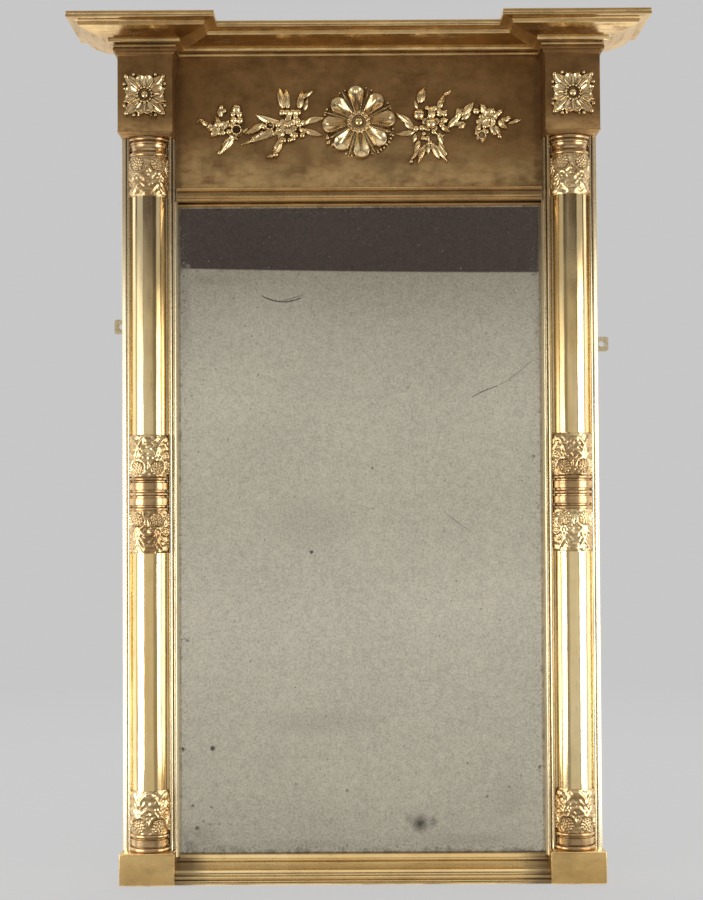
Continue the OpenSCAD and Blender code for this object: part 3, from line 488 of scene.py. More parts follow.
def beaded(height, X, Z, turns, far, radius, rise):
    """Adds beads at one distance from the middle, each turned from straight up."""
    for turn in turns:
        a = math.radians(turn)
        height = np.maximum(height, dome_form(X, Z, far * math.sin(a), far * math.cos(a), radius, rise))
    return height


def blurred(height, passes):
    for _ in range(passes):
        padded = np.pad(height, 1, mode="edge")
        height = (
            padded[:-2, 1:-1] + padded[2:, 1:-1] + padded[1:-1, :-2] + padded[1:-1, 2:] + 4 * padded[1:-1, 1:-1]
        ) / 8
    return height


def hollow_map(height):
    """Deep where the modelling lies lower than what is close round it, and at its foot; the material paints soiling
    and shade there.
    """
    lower = blurred(height, 5) - height
    wider = blurred(height, 26) - height
    return np.clip(lower / 0.5, 0, 1) * 0.55 + np.clip(wider / 1.3, 0, 1) * 0.55 + 0.25 * np.exp(-height / 0.5)


def grid_of(columns, rows):
    """A flat grid, the order that reads its points row by row, and how far across and up it each lies, from -0.5."""
    piece = begin("grid", x_subdivisions=columns, y_subdivisions=rows, size=1)
    bpy.ops.object.mode_set(mode="OBJECT")
    points = points_of(piece)
    order = np.lexsort((points[:, 0].round(5), points[:, 1].round(5)))
    across, up = (points[order, axis].reshape(rows + 1, columns + 1) for axis in (0, 1))
    return piece, order, across, up


def raise_grid(piece, order, X, depth, Z, hollow):
    """Moves the points of a grid to their places in millimetres, and keeps how deep in a hollow each one lies."""
    where = np.empty((len(order), 3))
    where[order] = np.stack([X * MM, BACK - depth * MM, Z * MM], axis=-1).reshape(-1, 3)
    piece.data.vertices.foreach_set("co", where.ravel())
    values = np.empty(len(order))
    values[order] = hollow.ravel()
    note_hollows(piece, values)


def cast(name, node, centre, face, size, height_of, material, hollow_weight=1.0):
    """Ornament pressed from a mould: a grid raised to its relief, then cut to its outline and closed at the back."""
    grain = settings().ornament.grain / MM
    thinnest, sunk, dust_and_shade = 0.12, -0.4, 0.2
    piece, order, across, up = grid_of(int(size[0] / grain), int(size[1] / grain))
    X, Z = across * size[0], up * size[1]
    height = blurred(height_of(X, Z), 1)
    height[height < thinnest] = 0
    # Painted shade: the low parts of the modelling are darkened, as well as its hollows
    low_shade = 1 - smooth(height / height.max(), 0.1, 0.65)
    depth = face + np.where(height > 0, height, sunk)
    hollow = hollow_map(height) * hollow_weight + dust_and_shade * low_shade
    raise_grid(piece, order, centre[0] + X, depth, centre[1] + Z, hollow)
    flat = np.empty(len(order), dtype=bool)
    flat[order] = (height <= 0).ravel()
    corners = np.empty(len(piece.data.loops), dtype=np.int32)
    piece.data.loops.foreach_get("vertex_index", corners)
    bpy.ops.object.mode_set(mode="EDIT")
    bpy.ops.mesh.select_mode(type="FACE")
    bpy.ops.mesh.select_all(action="DESELECT")
    bpy.ops.object.mode_set(mode="OBJECT")
    piece.data.polygons.foreach_set("select", flat[corners].reshape(-1, 4).all(axis=1))
    bpy.ops.object.mode_set(mode="EDIT")
    bpy.ops.mesh.delete(type="FACE")
    bpy.ops.mesh.select_mode(type="VERT")
    bpy.ops.mesh.select_all(action="SELECT")
    bpy.ops.mesh.delete_loose()
    bpy.ops.mesh.select_all(action="DESELECT")
    bpy.ops.mesh.select_non_manifold(
        extend=False, use_wire=False, use_multi_face=False, use_non_contiguous=False, use_verts=False
    )
    bpy.ops.mesh.fill()
    bpy.ops.mesh.select_all(action="SELECT")
    bpy.ops.mesh.normals_make_consistent(inside=False)
    end(piece, name, node, material, 75)


# Materials


def per(mm):
    """Patterns to the metre for a pattern of that many millimetres."""
    return 1 / (mm * MM)


def add(tree, kind, *values, **choices):
    """Adds a node. choices: its own settings, or inputs by name; values: the inputs it shows, as links or numbers."""
    item = tree.nodes.new("ShaderNode" + kind)
    named = {}
    for key, value in choices.items():
        if hasattr(item, key):
            setattr(item, key, value)
        else:
            named[item.inputs[key.replace("_", " ")]] = value
    shown = [socket for socket in item.inputs if socket.enabled]
    for socket, value in list(zip(shown, values)) + list(named.items()):
        if isinstance(value, bpy.types.Node):
            value = next(output for output in value.outputs if output.enabled)
        if isinstance(value, bpy.types.NodeSocket):
            tree.links.new(value, socket)
        elif value is not None:
            socket.default_value = value
    return item


def blank(name):
    material = bpy.data.materials.new(name)
    material.use_nodes = True
    material.node_tree.nodes.clear()
    return material.node_tree


def gilding(name, leaf, deep, polish, wear, hollow_darkening, along, relief, patchy=0.0, darker=None):
    """Gold leaf on bole and gesso. polish: its roughness from best to worst; wear: how much bole shows;
    hollow_darkening: how dark its hollows are painted, as soiling and painted shade; along: how the tool's strokes
    draw the pattern out; relief: height of its grain, in millimetres; patchy: uneven toning; darker: the heights
    between which it darkens as painted shade, in millimetres, and how much."""
    look = settings().gilding
    tree = blank(name)
    where = add(tree, "TexCoord").outputs["Object"]
    drawn = add(tree, "Mapping", where, None, None, [1 / s for s in along])
    broad = add(tree, "TexNoise", drawn, per(60), 4.0, 0.6)
    streaks = add(tree, "TexNoise", drawn, per(7), 4.0, 0.62)
    fine = add(tree, "TexNoise", where, per(1.5), 3.0, 0.6)
    # Square leaves lie side by side, and each takes the burnish a little differently
    leaves = add(tree, "VectorMath", where, (look.lap,) * 3, operation="SNAP")
    lot = add(tree, "TexWhiteNoise", leaves)
    thin = add(tree, "Math", lot, 0.06, broad, operation="MULTIPLY_ADD")
    colour = add(tree, "Mix", add(tree, "MapRange", thin, 0.38, 0.72), leaf, deep, data_type="RGBA")
    # Bole shows in soft patches and along fine rubbed lines
    mottle = add(tree, "Math", fine, 0.4, streaks, operation="MULTIPLY_ADD")
    worn = add(tree, "MapRange", mottle, 0.86 - 0.16 * wear, 1.08 - 0.16 * wear, 0.0, 0.25 + 0.6 * wear)
    colour = add(tree, "Mix", worn, colour, look.bole, data_type="RGBA")
    if patchy:
        # Brown size that was brushed on unevenly
        uneven = add(tree, "Math", add(tree, "Math", broad, streaks, operation="ADD"), 0.5, operation="MULTIPLY")
        toned = add(tree, "MapRange", uneven, 0.42, 0.60, 0.0, patchy)
        colour = add(tree, "Mix", toned, colour, look.tone, data_type="RGBA")
    if darker:
        # Painted shade: more of the toning colour higher up, with a ragged start
        low, high, most = darker
        height = add(tree, "SeparateXYZ", where).outputs["Z"]
        off = add(tree, "Math", broad, 0.5, operation="SUBTRACT")
        height = add(tree, "Math", off, 0.12, height, operation="MULTIPLY_ADD")
        share = add(tree, "MapRange", height, low * MM, high * MM, 0.0, most)
        colour = add(tree, "Mix", share, colour, look.tone, data_type="RGBA")
    if patchy:
        # Stains a few centimetres across
        stain = add(tree, "TexNoise", where, per(26), 5.0, 0.7)
        stain = add(tree, "MapRange", stain, 0.44, 0.66, 0.0, 0.75 * patchy)
        colour = add(tree, "Mix", stain, colour, look.grime_and_shade, data_type="RGBA")
    # Soiling and painted shade in the hollows, broken up by the grain
    hollow = add(tree, "Attribute", attribute_name="hollow").outputs["Fac"]
    loose = add(tree, "Math", streaks, 0.5, -0.25, operation="MULTIPLY_ADD")
    soil_and_shade = add(tree, "MapRange", add(tree, "Math", hollow, loose, operation="ADD"), 0.20, 0.95, 0.0, hollow_darkening)
    colour = add(tree, "Mix", soil_and_shade, colour, look.grime_and_shade, data_type="RGBA")
    # Where bole, soiling or painted shade covers the gold it is no metal, and rougher
    dull = add(tree, "Math", soil_and_shade, 0.7, worn, operation="MULTIPLY_ADD", use_clamp=True)
    metal = add(tree, "Math", dull, -0.7, 1.0, operation="MULTIPLY_ADD", use_clamp=True)
    gloss = add(tree, "MapRange", mottle, 0.45, 0.95, *polish)
    rough = add(tree, "Math", dull, 0.35, gloss, operation="MULTIPLY_ADD", use_clamp=True)
    bump = add(tree, "Bump", 1.0, relief * MM, None, mottle)
    shader = add(tree, "BsdfPrincipled", Base_Color=colour, Metallic=metal, Roughness=rough, Normal=bump)
    add(tree, "OutputMaterial", shader)
    return bpy.data.materials[name]


def finishes():
    """The gilt finishes, made once and shared."""
    if "burnished water gilding upright" in bpy.data.materials:
        return bpy.data.materials
    look = settings().gilding
    leaf, deep, matt = look.leaf, look.deep_leaf, look.matt_leaf
    pale, warm, old, worn = linear("ECE0C2"), linear("DDBE86"), linear("C9AC82"), linear("A88A62")
    high = span("head_moulding")[2][0]
    # Painted shade: the mouldings beside the glass darken towards their tops, and the frieze and corner blocks towards
    # the cornice
    shade_on_mouldings, shade_under_cornice = (high - 120, high, 0.45), (high + 20, high + 96, 0.84)
    # How far the strokes draw the pattern out across, from front to back, and upwards
    upright, across, round_and_up, no_way = (1, 1, 8), (8, 1, 1), (4, 4, 1), (1, 1, 1)
    # Burnished with an agate stone along the length, so the strokes run with the shaft or the moulding
    gilding("burnished water gilding upright", leaf, deep, (0.07, 0.18), 0.25, 0.35, upright, 0.05, 0.08)
    gilding("burnished mouldings upright", pale, leaf, (0.20, 0.34), 0.25, 0.3, upright, 0.05, 0.08, shade_on_mouldings)
    gilding("burnished mouldings across", linear("EFD5A0"), deep, (0.14, 0.30), 0.6, 0.85, across, 0.06, 0.15)
    gilding("toned mouldings across", linear("CDAA74"), worn, (0.18, 0.34), 0.55, 1.0, across, 0.10, 0.35)
    gilding("toned turnings", old, worn, (0.18, 0.32), 0.5, 0.9, round_and_up, 0.06, 0.3)
    # Burnished only on the high points, and dull in the modelling
    bright, softer = linear("F2DCAE"), linear("D8BD90")
    gilding("gilt composition", bright, softer, (0.14, 0.28), 0.35, 0.95, no_way, 0.10, 0.3)
    gilding("toned composition", linear("DCC69A"), worn, (0.22, 0.36), 0.55, 1.0, no_way, 0.10, 0.2)
    # Oil gilding can't be burnished, and was toned down with brown size; it is darkened more towards the cornice as
    # painted shade
    gilding("matt oil gilding", matt, warm, (0.32, 0.50), 0.7, 0.9, (2.8, 1, 1.2), 0.18, 0.6, shade_under_cornice)
    gilding("satin water gilding", warm, deep, (0.24, 0.38), 0.4, 0.7, (3, 1, 1), 0.07, 0.25)
    gilding("satin toned gilding", linear("EED3A2"), warm, (0.14, 0.28), 0.55, 0.45, (6, 1, 1), 0.05, 0.4)
    gilding("satin toned returns", linear("E8C588"), deep, (0.26, 0.40), 0.5, 0.5, (1, 6, 1), 0.04, 0.35)
    gilt_edge_board(deep, matt)
    return bpy.data.materials


class PIERMIRROR_OT_mouldings(bpy.types.Operator):
    """Runs the mouldings beside, above and below the glass"""

    bl_idname = "piermirror.mouldings"
    bl_label = "Mouldings"

    def execute(self, context):
        for side, word in ((-1, "left"), (1, "right")):
            self.beside(side, word)
        _, (back, front), (foot, top) = span("head_moulding")
        self.across("head_moulding", head_outline(foot, top, back, front - 4), 0.35, "toned mouldings across")
        _, (back, front), (_, top) = span("bottom_moulding")
        self.across("bottom_moulding", bottom_outline(top, back, front), 0.75, "burnished mouldings across")
        return {"FINISHED"}

    def across(self, node, outline, worn, finish):
        """The moulding above or below the glass. worn: how dark the brown patches at its ends are."""
        steps, patch_start, patch_reach, wavy_from = 50, 158, 30, 22
        (x0, x1), _, (z0, z1) = span(node)
        piece = section([place(x0, depth, z) for depth, z in outline])
        extrude(((x1 - x0) / steps * MM, 0, 0), steps)
        closed()
        hollows_along(piece, outline, closed_in(outline), lambda x, depth: depth, lambda depth, z: z)
        unevenness = settings().column.unevenness
        for point, hollow in zip(piece.data.vertices, piece.data.attributes["hollow"].data):
            x, depth, z = point.co.x / MM, (BACK - point.co.y) / MM, point.co.z / MM
            ragged = 0.25 * noise.noise(Vector((point.co.x * 60, 0.5, point.co.z * 90)))
            hollow.value += worn * max(0.0, min(1.0, (abs(x) - patch_start) / patch_reach + ragged))
            if depth > wavy_from and z0 + 1 < z < z1 - 1:
                move = wander((x, 90 + z0, z), 34, unevenness)
                point.co.y -= abs(move.y)
                point.co.z += move.z * 0.5
        end(piece, node + "_gilt", node, finishes()[finish])

    def beside(self, side, word):
        """The moulding beside the glass, cut round the plinth at its foot and narrower beside the frieze."""
        node = word + "_pilaster_moulding"
        ground, lip, wavy_from = 38.0, 2.6, 30
        (x0, x1), (back, _), (z0, z1) = span(node)
        foot, head, cut = span("left_plinth")[2][1], span("head_moulding")[2][1], -span("left_plinth")[0][1]
        outline = pilaster_outline(x1 - x0, back, ground)
        outer = max(abs(x0), abs(x1))
        piece = section([place(side * (outer - u), depth, z0) for u, depth in outline])
        stops = [z0, *np.linspace(foot, head, 60), head + 0.01, *np.linspace(head + 8, z1, 5)]
        for low, high in zip(stops, stops[1:]):
            extrude((0, 0, (high - low) * MM))
        closed()
        # The lip that meets the glass is darkened, as painted shade in the corner against the glass
        depths = [deep + 0.55 * (u > x1 - x0 - lip) for deep, (u, _) in zip(closed_in(outline), outline)]
        hollows_along(piece, outline, depths, lambda x, depth: outer - side * x, lambda depth, z: depth)
        unevenness = settings().column.unevenness
        for point in piece.data.vertices:
            x, depth, z = side * point.co.x / MM, (BACK - point.co.y) / MM, point.co.z / MM
            if z < z0 + 0.01:
                x = min(x, cut)
            elif z > head + 0.005:
                x = max(x, cut)
            if depth > wavy_from:
                move = wander((side * 40, depth * 0.2, z), 46, unevenness)
                point.co.y -= abs(move.y) * 0.5
                x += move.x * 0.5 / MM if x < outer - 1 else 0
            point.co.x = side * x * MM
        end(piece, node + "_gilt", node, finishes()["burnished mouldings upright"])


class PIERMIRROR_OT_cornice(bpy.types.Operator):
    """Mitres the seven lengths of the cornice and lays the boards over them"""

    bl_idname = "piermirror.cornice"
    bl_label = "Cornice"

    def execute(self, context):
        _, _, (self.foot, top) = span("cornice_centre")
        plinth = span("left_plinth")
        centre_face = span("frieze_panel")[1][1]
        reach = span("top_board")[1][1] - centre_face
        self.outline = cornice_outline(top - self.foot, reach)
        # The bead at the cornice's foot is darkened more, as painted shade under the cornice
        self.depths = [deep + 0.35 * (v < 4.4) for deep, (_, v) in zip(closed_in(self.outline, 4.5), self.outline)]
        outer, inner, front = -plinth[0][0], -plinth[0][1], plinth[1][1]
        # Each length runs past the corners it meets and is cut there: a point of the corner, and the way it is cut
        past = 60
        valley, inner_corner, outer_corner = (inner, centre_face), (inner, front), (outer, front)
        self.across("cornice_centre", 0, centre_face, inner, [(valley, (1, -1), 1), (valley, (1, -1), -1)])
        for side, word in ((-1, "left"), (1, "right")):
            cuts = [(inner_corner, (-1, -1), side), (outer_corner, (1, -1), side)]
            self.across(word + "_cornice_front", side, front, outer + past, cuts)
            cuts = [(outer_corner, (-1, 1), side)]
            self.forwards(word + "_cornice_outer_return", side, outer, 1, 0, front + past, cuts)
            cuts = [(inner_corner, (1, 1), side), (valley, (-1, -1), side)]
            self.forwards(word + "_cornice_inner_return", side, inner, -1, centre_face - 20, front + past, cuts)
        for node in ("top_board", "left_break_board", "right_break_board"):
            self.board(node)
        return {"FINISHED"}

    def across(self, name, side, face, far, cuts):
        """A length that runs across, standing out from a face by the section."""
        steps, nearest = 16, 80.0
        start, stop = (-far, far) if side == 0 else sorted((side * nearest, side * far))
        piece = section([place(start, face + u, self.foot + v) for u, v in self.outline])
        extrude(((stop - start) / steps * MM, 0, 0), steps)
        self.finish(piece, name, cuts, "satin toned gilding", lambda x, depth: depth - face)

    def forwards(self, name, side, face, way, back, front, cuts):
        """A length that runs from the back to the front, standing out sideways."""
        steps = 8
        piece = section([place(side * (face + way * u), back, self.foot + v) for u, v in self.outline])
        extrude((0, -(front - back) / steps * MM, 0), steps)
        self.finish(piece, name, cuts, "satin toned returns", lambda x, depth: (side * x - face) * way)

    def finish(self, piece, name, cuts, paint, out):
        """Cuts the mitres. out finds how far a point stands out from the face, from its x and its depth."""
        for (x, depth), (nx, nd), side in cuts:
            bpy.ops.mesh.select_all(action="SELECT")
            bpy.ops.mesh.bisect(
                plane_co=place(side * x, depth, 0), plane_no=(side * nx, -nd, 0), use_fill=True, clear_outer=True
            )
        closed()
        hollows_along(piece, self.outline, self.depths, out, lambda depth, z: z - self.foot)
        end(piece, name + "_gilt", name, finishes()[paint])

    def board(self, node):
        """A planed board with its arrises eased, gilded on its edges only."""
        ease = 0.7
        (x0, x1), (d0, d1), (z0, z1) = span(node)
        middle = place((x0 + x1) / 2, (d0 + d1) / 2, (z0 + z1) / 2)
        piece = begin("cube", size=1, location=middle, scale=((x1 - x0) * MM, (d1 - d0) * MM, (z1 - z0) * MM))
        bpy.ops.object.mode_set(mode="OBJECT")
        bpy.ops.object.transform_apply(location=True, rotation=True, scale=True)
        edit()
        bpy.ops.mesh.bevel(offset=ease * MM, segments=3, profile=0.6, affect="EDGES")
        closed()
        end(piece, node + "_gilt", node, finishes()["gilt edge and bare top"], 50)


class PIERMIRROR_OT_blocks(bpy.types.Operator):
    """Makes the plinths and the upper corner blocks with their stepped necks"""

    bl_idname = "piermirror.blocks"
    bl_label = "Corner blocks"

    def execute(self, context):
        paint = finishes()
        for word in ("left", "right"):
            _, _, (foot, top) = span(word + "_plinth")
            levels = [
                (foot, -1.0), (foot + 1.0, -0.1), (foot + 2.4, 0), (top - 2.4, 0), (top - 1.2, -0.1),
                (top - 0.3, -0.8), (top, -1.6),
            ]
            self.stack(word + "_plinth", levels, paint["satin water gilding"], "burnished_gilding", 1.1)
            _, _, (foot, top) = span(word + "_die")
            levels = [
                (foot, -3.2), (foot + 1.2, -1.9), (foot + 2.6, -0.6), (foot + 3.4, 0.35), (foot + 4.4, 0.35),
                (foot + 4.9, 0), (foot + 24, 0), (top - 8.6, 0), (top - 8.1, 0.5), (top - 7.2, 1.6), (top - 5.2, 1.8),
                (top - 4.4, 2.2), (top - 3.8, 4.1), (top - 2.2, 4.5), (top - 0.4, 4.4), (top, 4.2),
            ]
            self.stack(word + "_die", levels, paint["matt oil gilding"], "matt_gilding", 0.8)
        return {"FINISHED"}

    def stack(self, node, levels, material, slot, ease):
        """A block extruded level by level, each level standing out from the plinth's size by its own amount."""
        (x0, x1), (back, front), _ = span(node.split("_")[0] + "_plinth")
        centre, half = (x0 + x1) / 2, (x1 - x0) / 2
        quarter = np.linspace(0, math.pi / 2, 5)

        def outline(grow):
            w, f = half + grow, front + grow
            corner = [(w - ease * (1 - math.cos(a)), f - ease * (1 - math.sin(a))) for a in quarter]
            return [(w, back)] + corner + [(-x, depth) for x, depth in reversed(corner)] + [(-w, back)]

        piece = section([place(centre + x, depth, levels[0][0]) for x, depth in outline(0)])
        for (low, _), (high, _) in zip(levels, levels[1:]):
            extrude((0, 0, (high - low) * MM))
        closed()
        heights = np.array([z for z, _ in levels])
        base, hollow = np.array(outline(0)), []
        for point, (x, y, z) in zip(piece.data.vertices, points_of(piece) / MM):
            level, grow = levels[int(np.argmin(np.abs(heights - z)))]
            i = int(np.argmin((base[:, 0] - (x - centre)) ** 2 + (base[:, 1] - (BACK / MM - y)) ** 2))
            across, depth = outline(grow)[i]
            point.co = place(centre + across, depth, level)
            # A level is darkened where one close to it stands out further, as painted shade under the overhang
            nearest = max(other for height, other in levels if abs(height - z) < 2.2)
            hollow.append(min(1.0, (nearest - grow) / 3.0) * 0.7)
        note_hollows(piece, hollow)
        end(piece, node + "_gilt", node, material, 35)


class PIERMIRROR_OT_columns(bpy.types.Operator):
    """Turns the shafts, the centre reels, the capital rings and the base rings"""

    bl_idname = "piermirror.columns"
    bl_label = "Turned columns"

    def execute(self, context):
        paint, rings = finishes()["burnished water gilding upright"], finishes()["toned turnings"]
        for word in ("left", "right"):
            (x0, x1), (ground, _), _ = span(word + "_lower_shaft")
            axis, shaft = (x0 + x1) / 2, (x1 - x0) / 2
            groove, band, ring = shaft + 0.3, shaft + 1.9, shaft + 2.6
            base = (
                ring_bead(0, 4.6, ring + 1.0) + [(groove, 4.9), (groove, 5.6)] + flat_band(5.9, 13.0, band)
                + [(groove, 13.3), (groove, 14.2)] + ring_bead(14.5, tall(word + "_base_rings"), ring)
            )
            capital = (
                ring_bead(0, 4.4, ring) + [(groove, 4.8), (groove, 5.6)]
                + [(band - 0.6 - 0.9 * math.sin(a), 6 + 6.2 * a / math.pi) for a in np.linspace(0, math.pi, 7)]
                + ring_bead(12.6, 15.6, ring - 0.6) + [(groove, 15.9), (groove, 16.4)]
                + ring_bead(16.7, tall(word + "_capital_rings"), ring + 0.6)
            )
            height = tall(word + "_reel")
            middle = height / 2
            half = (
                ring_bead(0.4, 3.9, ring - 0.2) + [(groove, 4.4), (groove, 5.6)] + flat_band(6.0, middle - 4.2, band)
                + [(groove, middle - 3.8), (groove, middle - 2.4)]
            )
            waist = ring_bead(middle - 1.9, middle + 1.9, ring - 0.2)
            reel = half + waist + [(r, height - z) for r, z in reversed(half)]
            for part, profile in (("_base_rings", base), ("_capital_rings", capital), ("_reel", reel)):
                self.turn(word + part, axis, ground, profile, 0.5, rings)
            for node in (word + "_lower_shaft", word + "_upper_shaft"):
                self.turn(node, axis, ground, [(shaft, z) for z in np.linspace(0, tall(node), 44)], 0.9, paint)
        return {"FINISHED"}

    def turn(self, node, axis, ground, profile, waves, paint):
        """Spins a profile half round the column's axis, then gives it the small waves of hand-smoothed gesso."""
        _, _, (foot, top) = span(node)
        under = [(profile[0][0], 0)] if profile[0][1] > 0 else []
        outline = [(0, 0), *under, *profile, (0, top - foot)]
        piece = section([place(axis - r, ground, foot + z) for r, z in outline])
        bpy.ops.mesh.spin(steps=40, angle=-math.pi, center=place(axis, ground, foot), axis=(0, 0, 1))
        closed()

        def from_axis(x, depth):
            return np.hypot(x - axis, depth - ground)

        # How closed in each groove of the turning is, which the material darkens as soiling and painted shade
        hollows_along(piece, outline, closed_in(outline, 3.0), from_axis, lambda depth, z: z - foot)
        core, unevenness = 5, settings().column.unevenness
        for point in piece.data.vertices:
            x, depth, z = point.co.x / MM, (BACK - point.co.y) / MM, point.co.z / MM
            radius = from_axis(x, depth)
            if radius > core:
                angle = math.atan2(x - axis, depth - ground)
                move = wander((axis + 60 * angle, radius, z), 30, unevenness / MM).x * waves
                point.co.x += move * math.sin(angle) * MM
                point.co.y = min(BACK - ground * MM, point.co.y - move * math.cos(angle) * MM)
        end(piece, node + "_gilt", node, paint, 38)


def collar_relief(U, V, height, rise, seed):
    """A collar unrolled: U round the column and V up from its rings. Flower heads by the rings, each under its hood
    of curled leaf, and between them broad leaves whose ribs arch over to a turned-down tip."""
    drift = [noise.noise(Vector((seed * 3.7, k, 0.5))) for k in range(16)]
    form = np.full_like(U, 0.25 * rise)
    for k, u in enumerate((-22, 0, 22)):
        x = u + drift[k] * 1.5
        for peak, lift, wide in ((0.92, 0.86, 2.2), (0.74, 0.78, 1.8), (0.575, 1.0, 2.1)):
            bow = 0.085 + 0.02 * drift[k + 3]
            steep = np.hypot(1, 2 * bow * (U - x))
            line = (V - height * peak + bow * (U - x) ** 2) / steep
            rib = np.exp(-((line / wide) ** 2)) * (np.abs(U - x) < 15)
            form = np.maximum(form, rise * lift * rib * (1 - 0.25 * np.exp(-(((U - x) / 1.6) ** 2))))
    for k, u in enumerate((-33, -11, 11, 33)):
        x, z = u + drift[k + 6] * 1.4, height * 0.20
        far = np.hypot(U - x, V - z)
        for radius, lift, wide in ((14.4, 0.80, 1.7), (10.0, 1.0, 1.8)):
            hood = np.exp(-(((far - radius) / wide) ** 2)) * smooth(V, z - 5, z + 1)
            form = np.maximum(form, rise * lift * hood)
        knob_x, knob_z = x + drift[k + 7] * 2, height * 0.70 + drift[k + 10]
        form = np.maximum(form, dome_form(U, V, knob_x, knob_z, 4.6, rise * 0.95))
    for k, u in enumerate((-22, 0, 22)):
        x = u + drift[k] * 1.5
        tip = dome_form(U, (V - height * 0.885) * 1.5, x, 0, 7.0, rise * 0.98)
        under = np.exp(-(((U - x) / 4.5) ** 2 + ((V - height * 0.735) / 1.6) ** 2))
        under = under + np.exp(-(((U - x) / 2.6) ** 2 + ((V - height * 0.42) / 1.8) ** 2))
        form = np.maximum(form * (1 - 0.85 * np.clip(under, 0, 1)), tip)
    # Soft lumps parted by creases, as the worn composition shows all over
    for reach, lift in ((9.0, 0.50), (5.0, 0.36)):
        where = zip(U.ravel() / reach, V.ravel() / (reach * 0.8))
        lumps = np.array([abs(noise.noise(Vector((u, v, seed * 1.7 + reach)))) for u, v in where]).reshape(U.shape)
        form = form + rise * lift * (np.power(lumps, 0.8) - 0.20) * (1.25 - 0.9 * np.clip(form / rise, 0, 1))
    form = blurred(form, 5)
    for k, u in enumerate((-33, -11, 11, 33)):
        x, z = u + drift[k + 6] * 1.4, height * 0.20
        form = np.where(np.hypot(U - x, V - z) < 7.8, rise * 0.3, form)
        form = np.maximum(form, daisy_form(U, V, x, z, 7.2, rise * 0.98))
    for u in (-22, 0, 22):
        hole = np.exp(-(((U - u) / 3.2) ** 2 + ((V - height * 0.05) / 2.2) ** 2))
        form = form * (1 - 0.95 * hole)
    return np.maximum(form, 0.1) * smooth(V, -1.0, 1.0) * (0.55 + 0.45 * smooth(height - V, 0, 2.2))


class PIERMIRROR_OT_collars(bpy.types.Operator):
    """Casts the leaf collars of the columns with their flower heads"""

    bl_idname = "piermirror.collars"
    bl_label = "Leaf collars"

    def execute(self, context):
        paint = finishes()["toned composition"]
        parts = (("_base_leaves", 0), ("_lower_collar", 1), ("_upper_collar", 0), ("_capital_leaves", 1))
        for s, word in enumerate(("left", "right")):
            (x0, x1), (ground, _), _ = span(word + "_lower_shaft")
            for k, (part, flipped) in enumerate(parts):
                self.collar(word + part, (x0 + x1) / 2, (x1 - x0) / 2, ground, flipped, s * 4 + k, paint)
        return {"FINISHED"}

    def collar(self, node, axis, shaft, ground, flipped, seed, paint):
        """A flat grid raised to the relief and wrapped half round the column, then closed towards the axis."""
        columns, grain, inwards = 170, 0.40, 0.45
        _, _, (z0, z1) = span(node)
        height = z1 - z0
        piece, order, across, up = grid_of(columns, int(height / grain))
        turn, V = across * math.pi, (up + 0.5) * height
        rise = settings().column.relief / MM
        form = blurred(collar_relief(turn * (shaft + 2.2), V, height, rise, seed), 1)
        body = shaft + 0.1 + 0.7 * np.sin(np.pi * np.clip(1 - V / height, 0, 1) * 0.7 + 0.3)
        radius = np.minimum(body + form, shaft + rise + 1.0)
        Z = (z1 - V) if flipped else (z0 + V)
        # How deep each point lies in the modelling, which the material darkens as soiling and painted shade
        hollow = np.clip(hollow_map(form) + 0.02, 0, 1)
        raise_grid(piece, order, axis + radius * np.sin(turn), ground + radius * np.cos(turn), Z, hollow)
        rim_out((0, 0, 0))
        bpy.ops.object.mode_set(mode="OBJECT")
        middle = place(axis, ground, 0)
        for point in piece.data.vertices:
            if point.select:
                point.co.x += (middle[0] - point.co.x) * inwards
                point.co.y += (middle[1] - point.co.y) * inwards
        bpy.ops.object.mode_set(mode="EDIT")
        bpy.ops.mesh.edge_face_add()
        closed()
        end(piece, node + "_cast", node, paint, 75)


def rosette_height(X, Z, half):
    """A rosette: four heart-shaped petals over four pointed leaves with curled tips, and a beaded eye."""
    rise = settings().ornament.rosette_rise / MM
    far = np.hypot(X, Z)
    height = np.zeros_like(X)
    for turn in (45, 135, 225, 315):
        a = math.radians(turn)
        x, z = half * 0.30 * math.sin(a), half * 0.30 * math.cos(a)
        height = np.maximum(height, leaf_form(X, Z, x, z, turn, half, half * 0.62, 0, rise * 0.78, 0.2))
        for hand in (-1, 1):
            a = math.radians(turn + hand * 17)
            x, z, lean = half * math.sin(a) * 0.62, half * math.cos(a) * 0.62, turn + hand * 34
            tip = leaf_form(X, Z, x, z, lean, half * 0.46, half * 0.26, hand * 0.2, rise * 0.72)
            height = np.maximum(height, tip)
        height = beaded(height, X, Z, (turn - 17, turn + 17), half * 1.08, half * 0.085, rise * 0.8)
        height = beaded(height, X, Z, [turn], half * 1.22, half * 0.11, rise * 0.85)
    for turn in (0, 90, 180, 270):
        height = np.maximum(height, heart_form(X, Z, turn, half * 0.20, half * 0.93, half * 0.84, rise))
    height = np.where(far < half * 0.40, rise * 0.36, height)
    height = beaded(height, X, Z, np.arange(14) * 360 / 14, half * 0.34, half * 0.068, rise)
    height = np.where(far < half * 0.24, rise * 0.28, height)
    return np.maximum(height, dome_form(X, Z, 0, 0, half * 0.19, rise))


class PIERMIRROR_OT_rosettes(bpy.types.Operator):
    """Casts the rosettes of the corner blocks"""

    bl_idname = "piermirror.rosettes"
    bl_label = "Rosettes"

    def execute(self, context):
        paint = finishes()["gilt composition"]
        for word in ("left", "right"):
            node = word + "_rosette"
            (x0, x1), _, (z0, z1) = span(node)
            face = span(word + "_plinth")[1][1]
            half = max(x1 - x0, z1 - z0) / 2 + 0.6
            middle = ((x0 + x1) / 2, (z0 + z1) / 2)
            cast(
                node + "_cast", node, middle, face, (half * 2.02,) * 2, lambda X, Z: rosette_height(X, Z, half), paint
            )
        return {"FINISHED"}


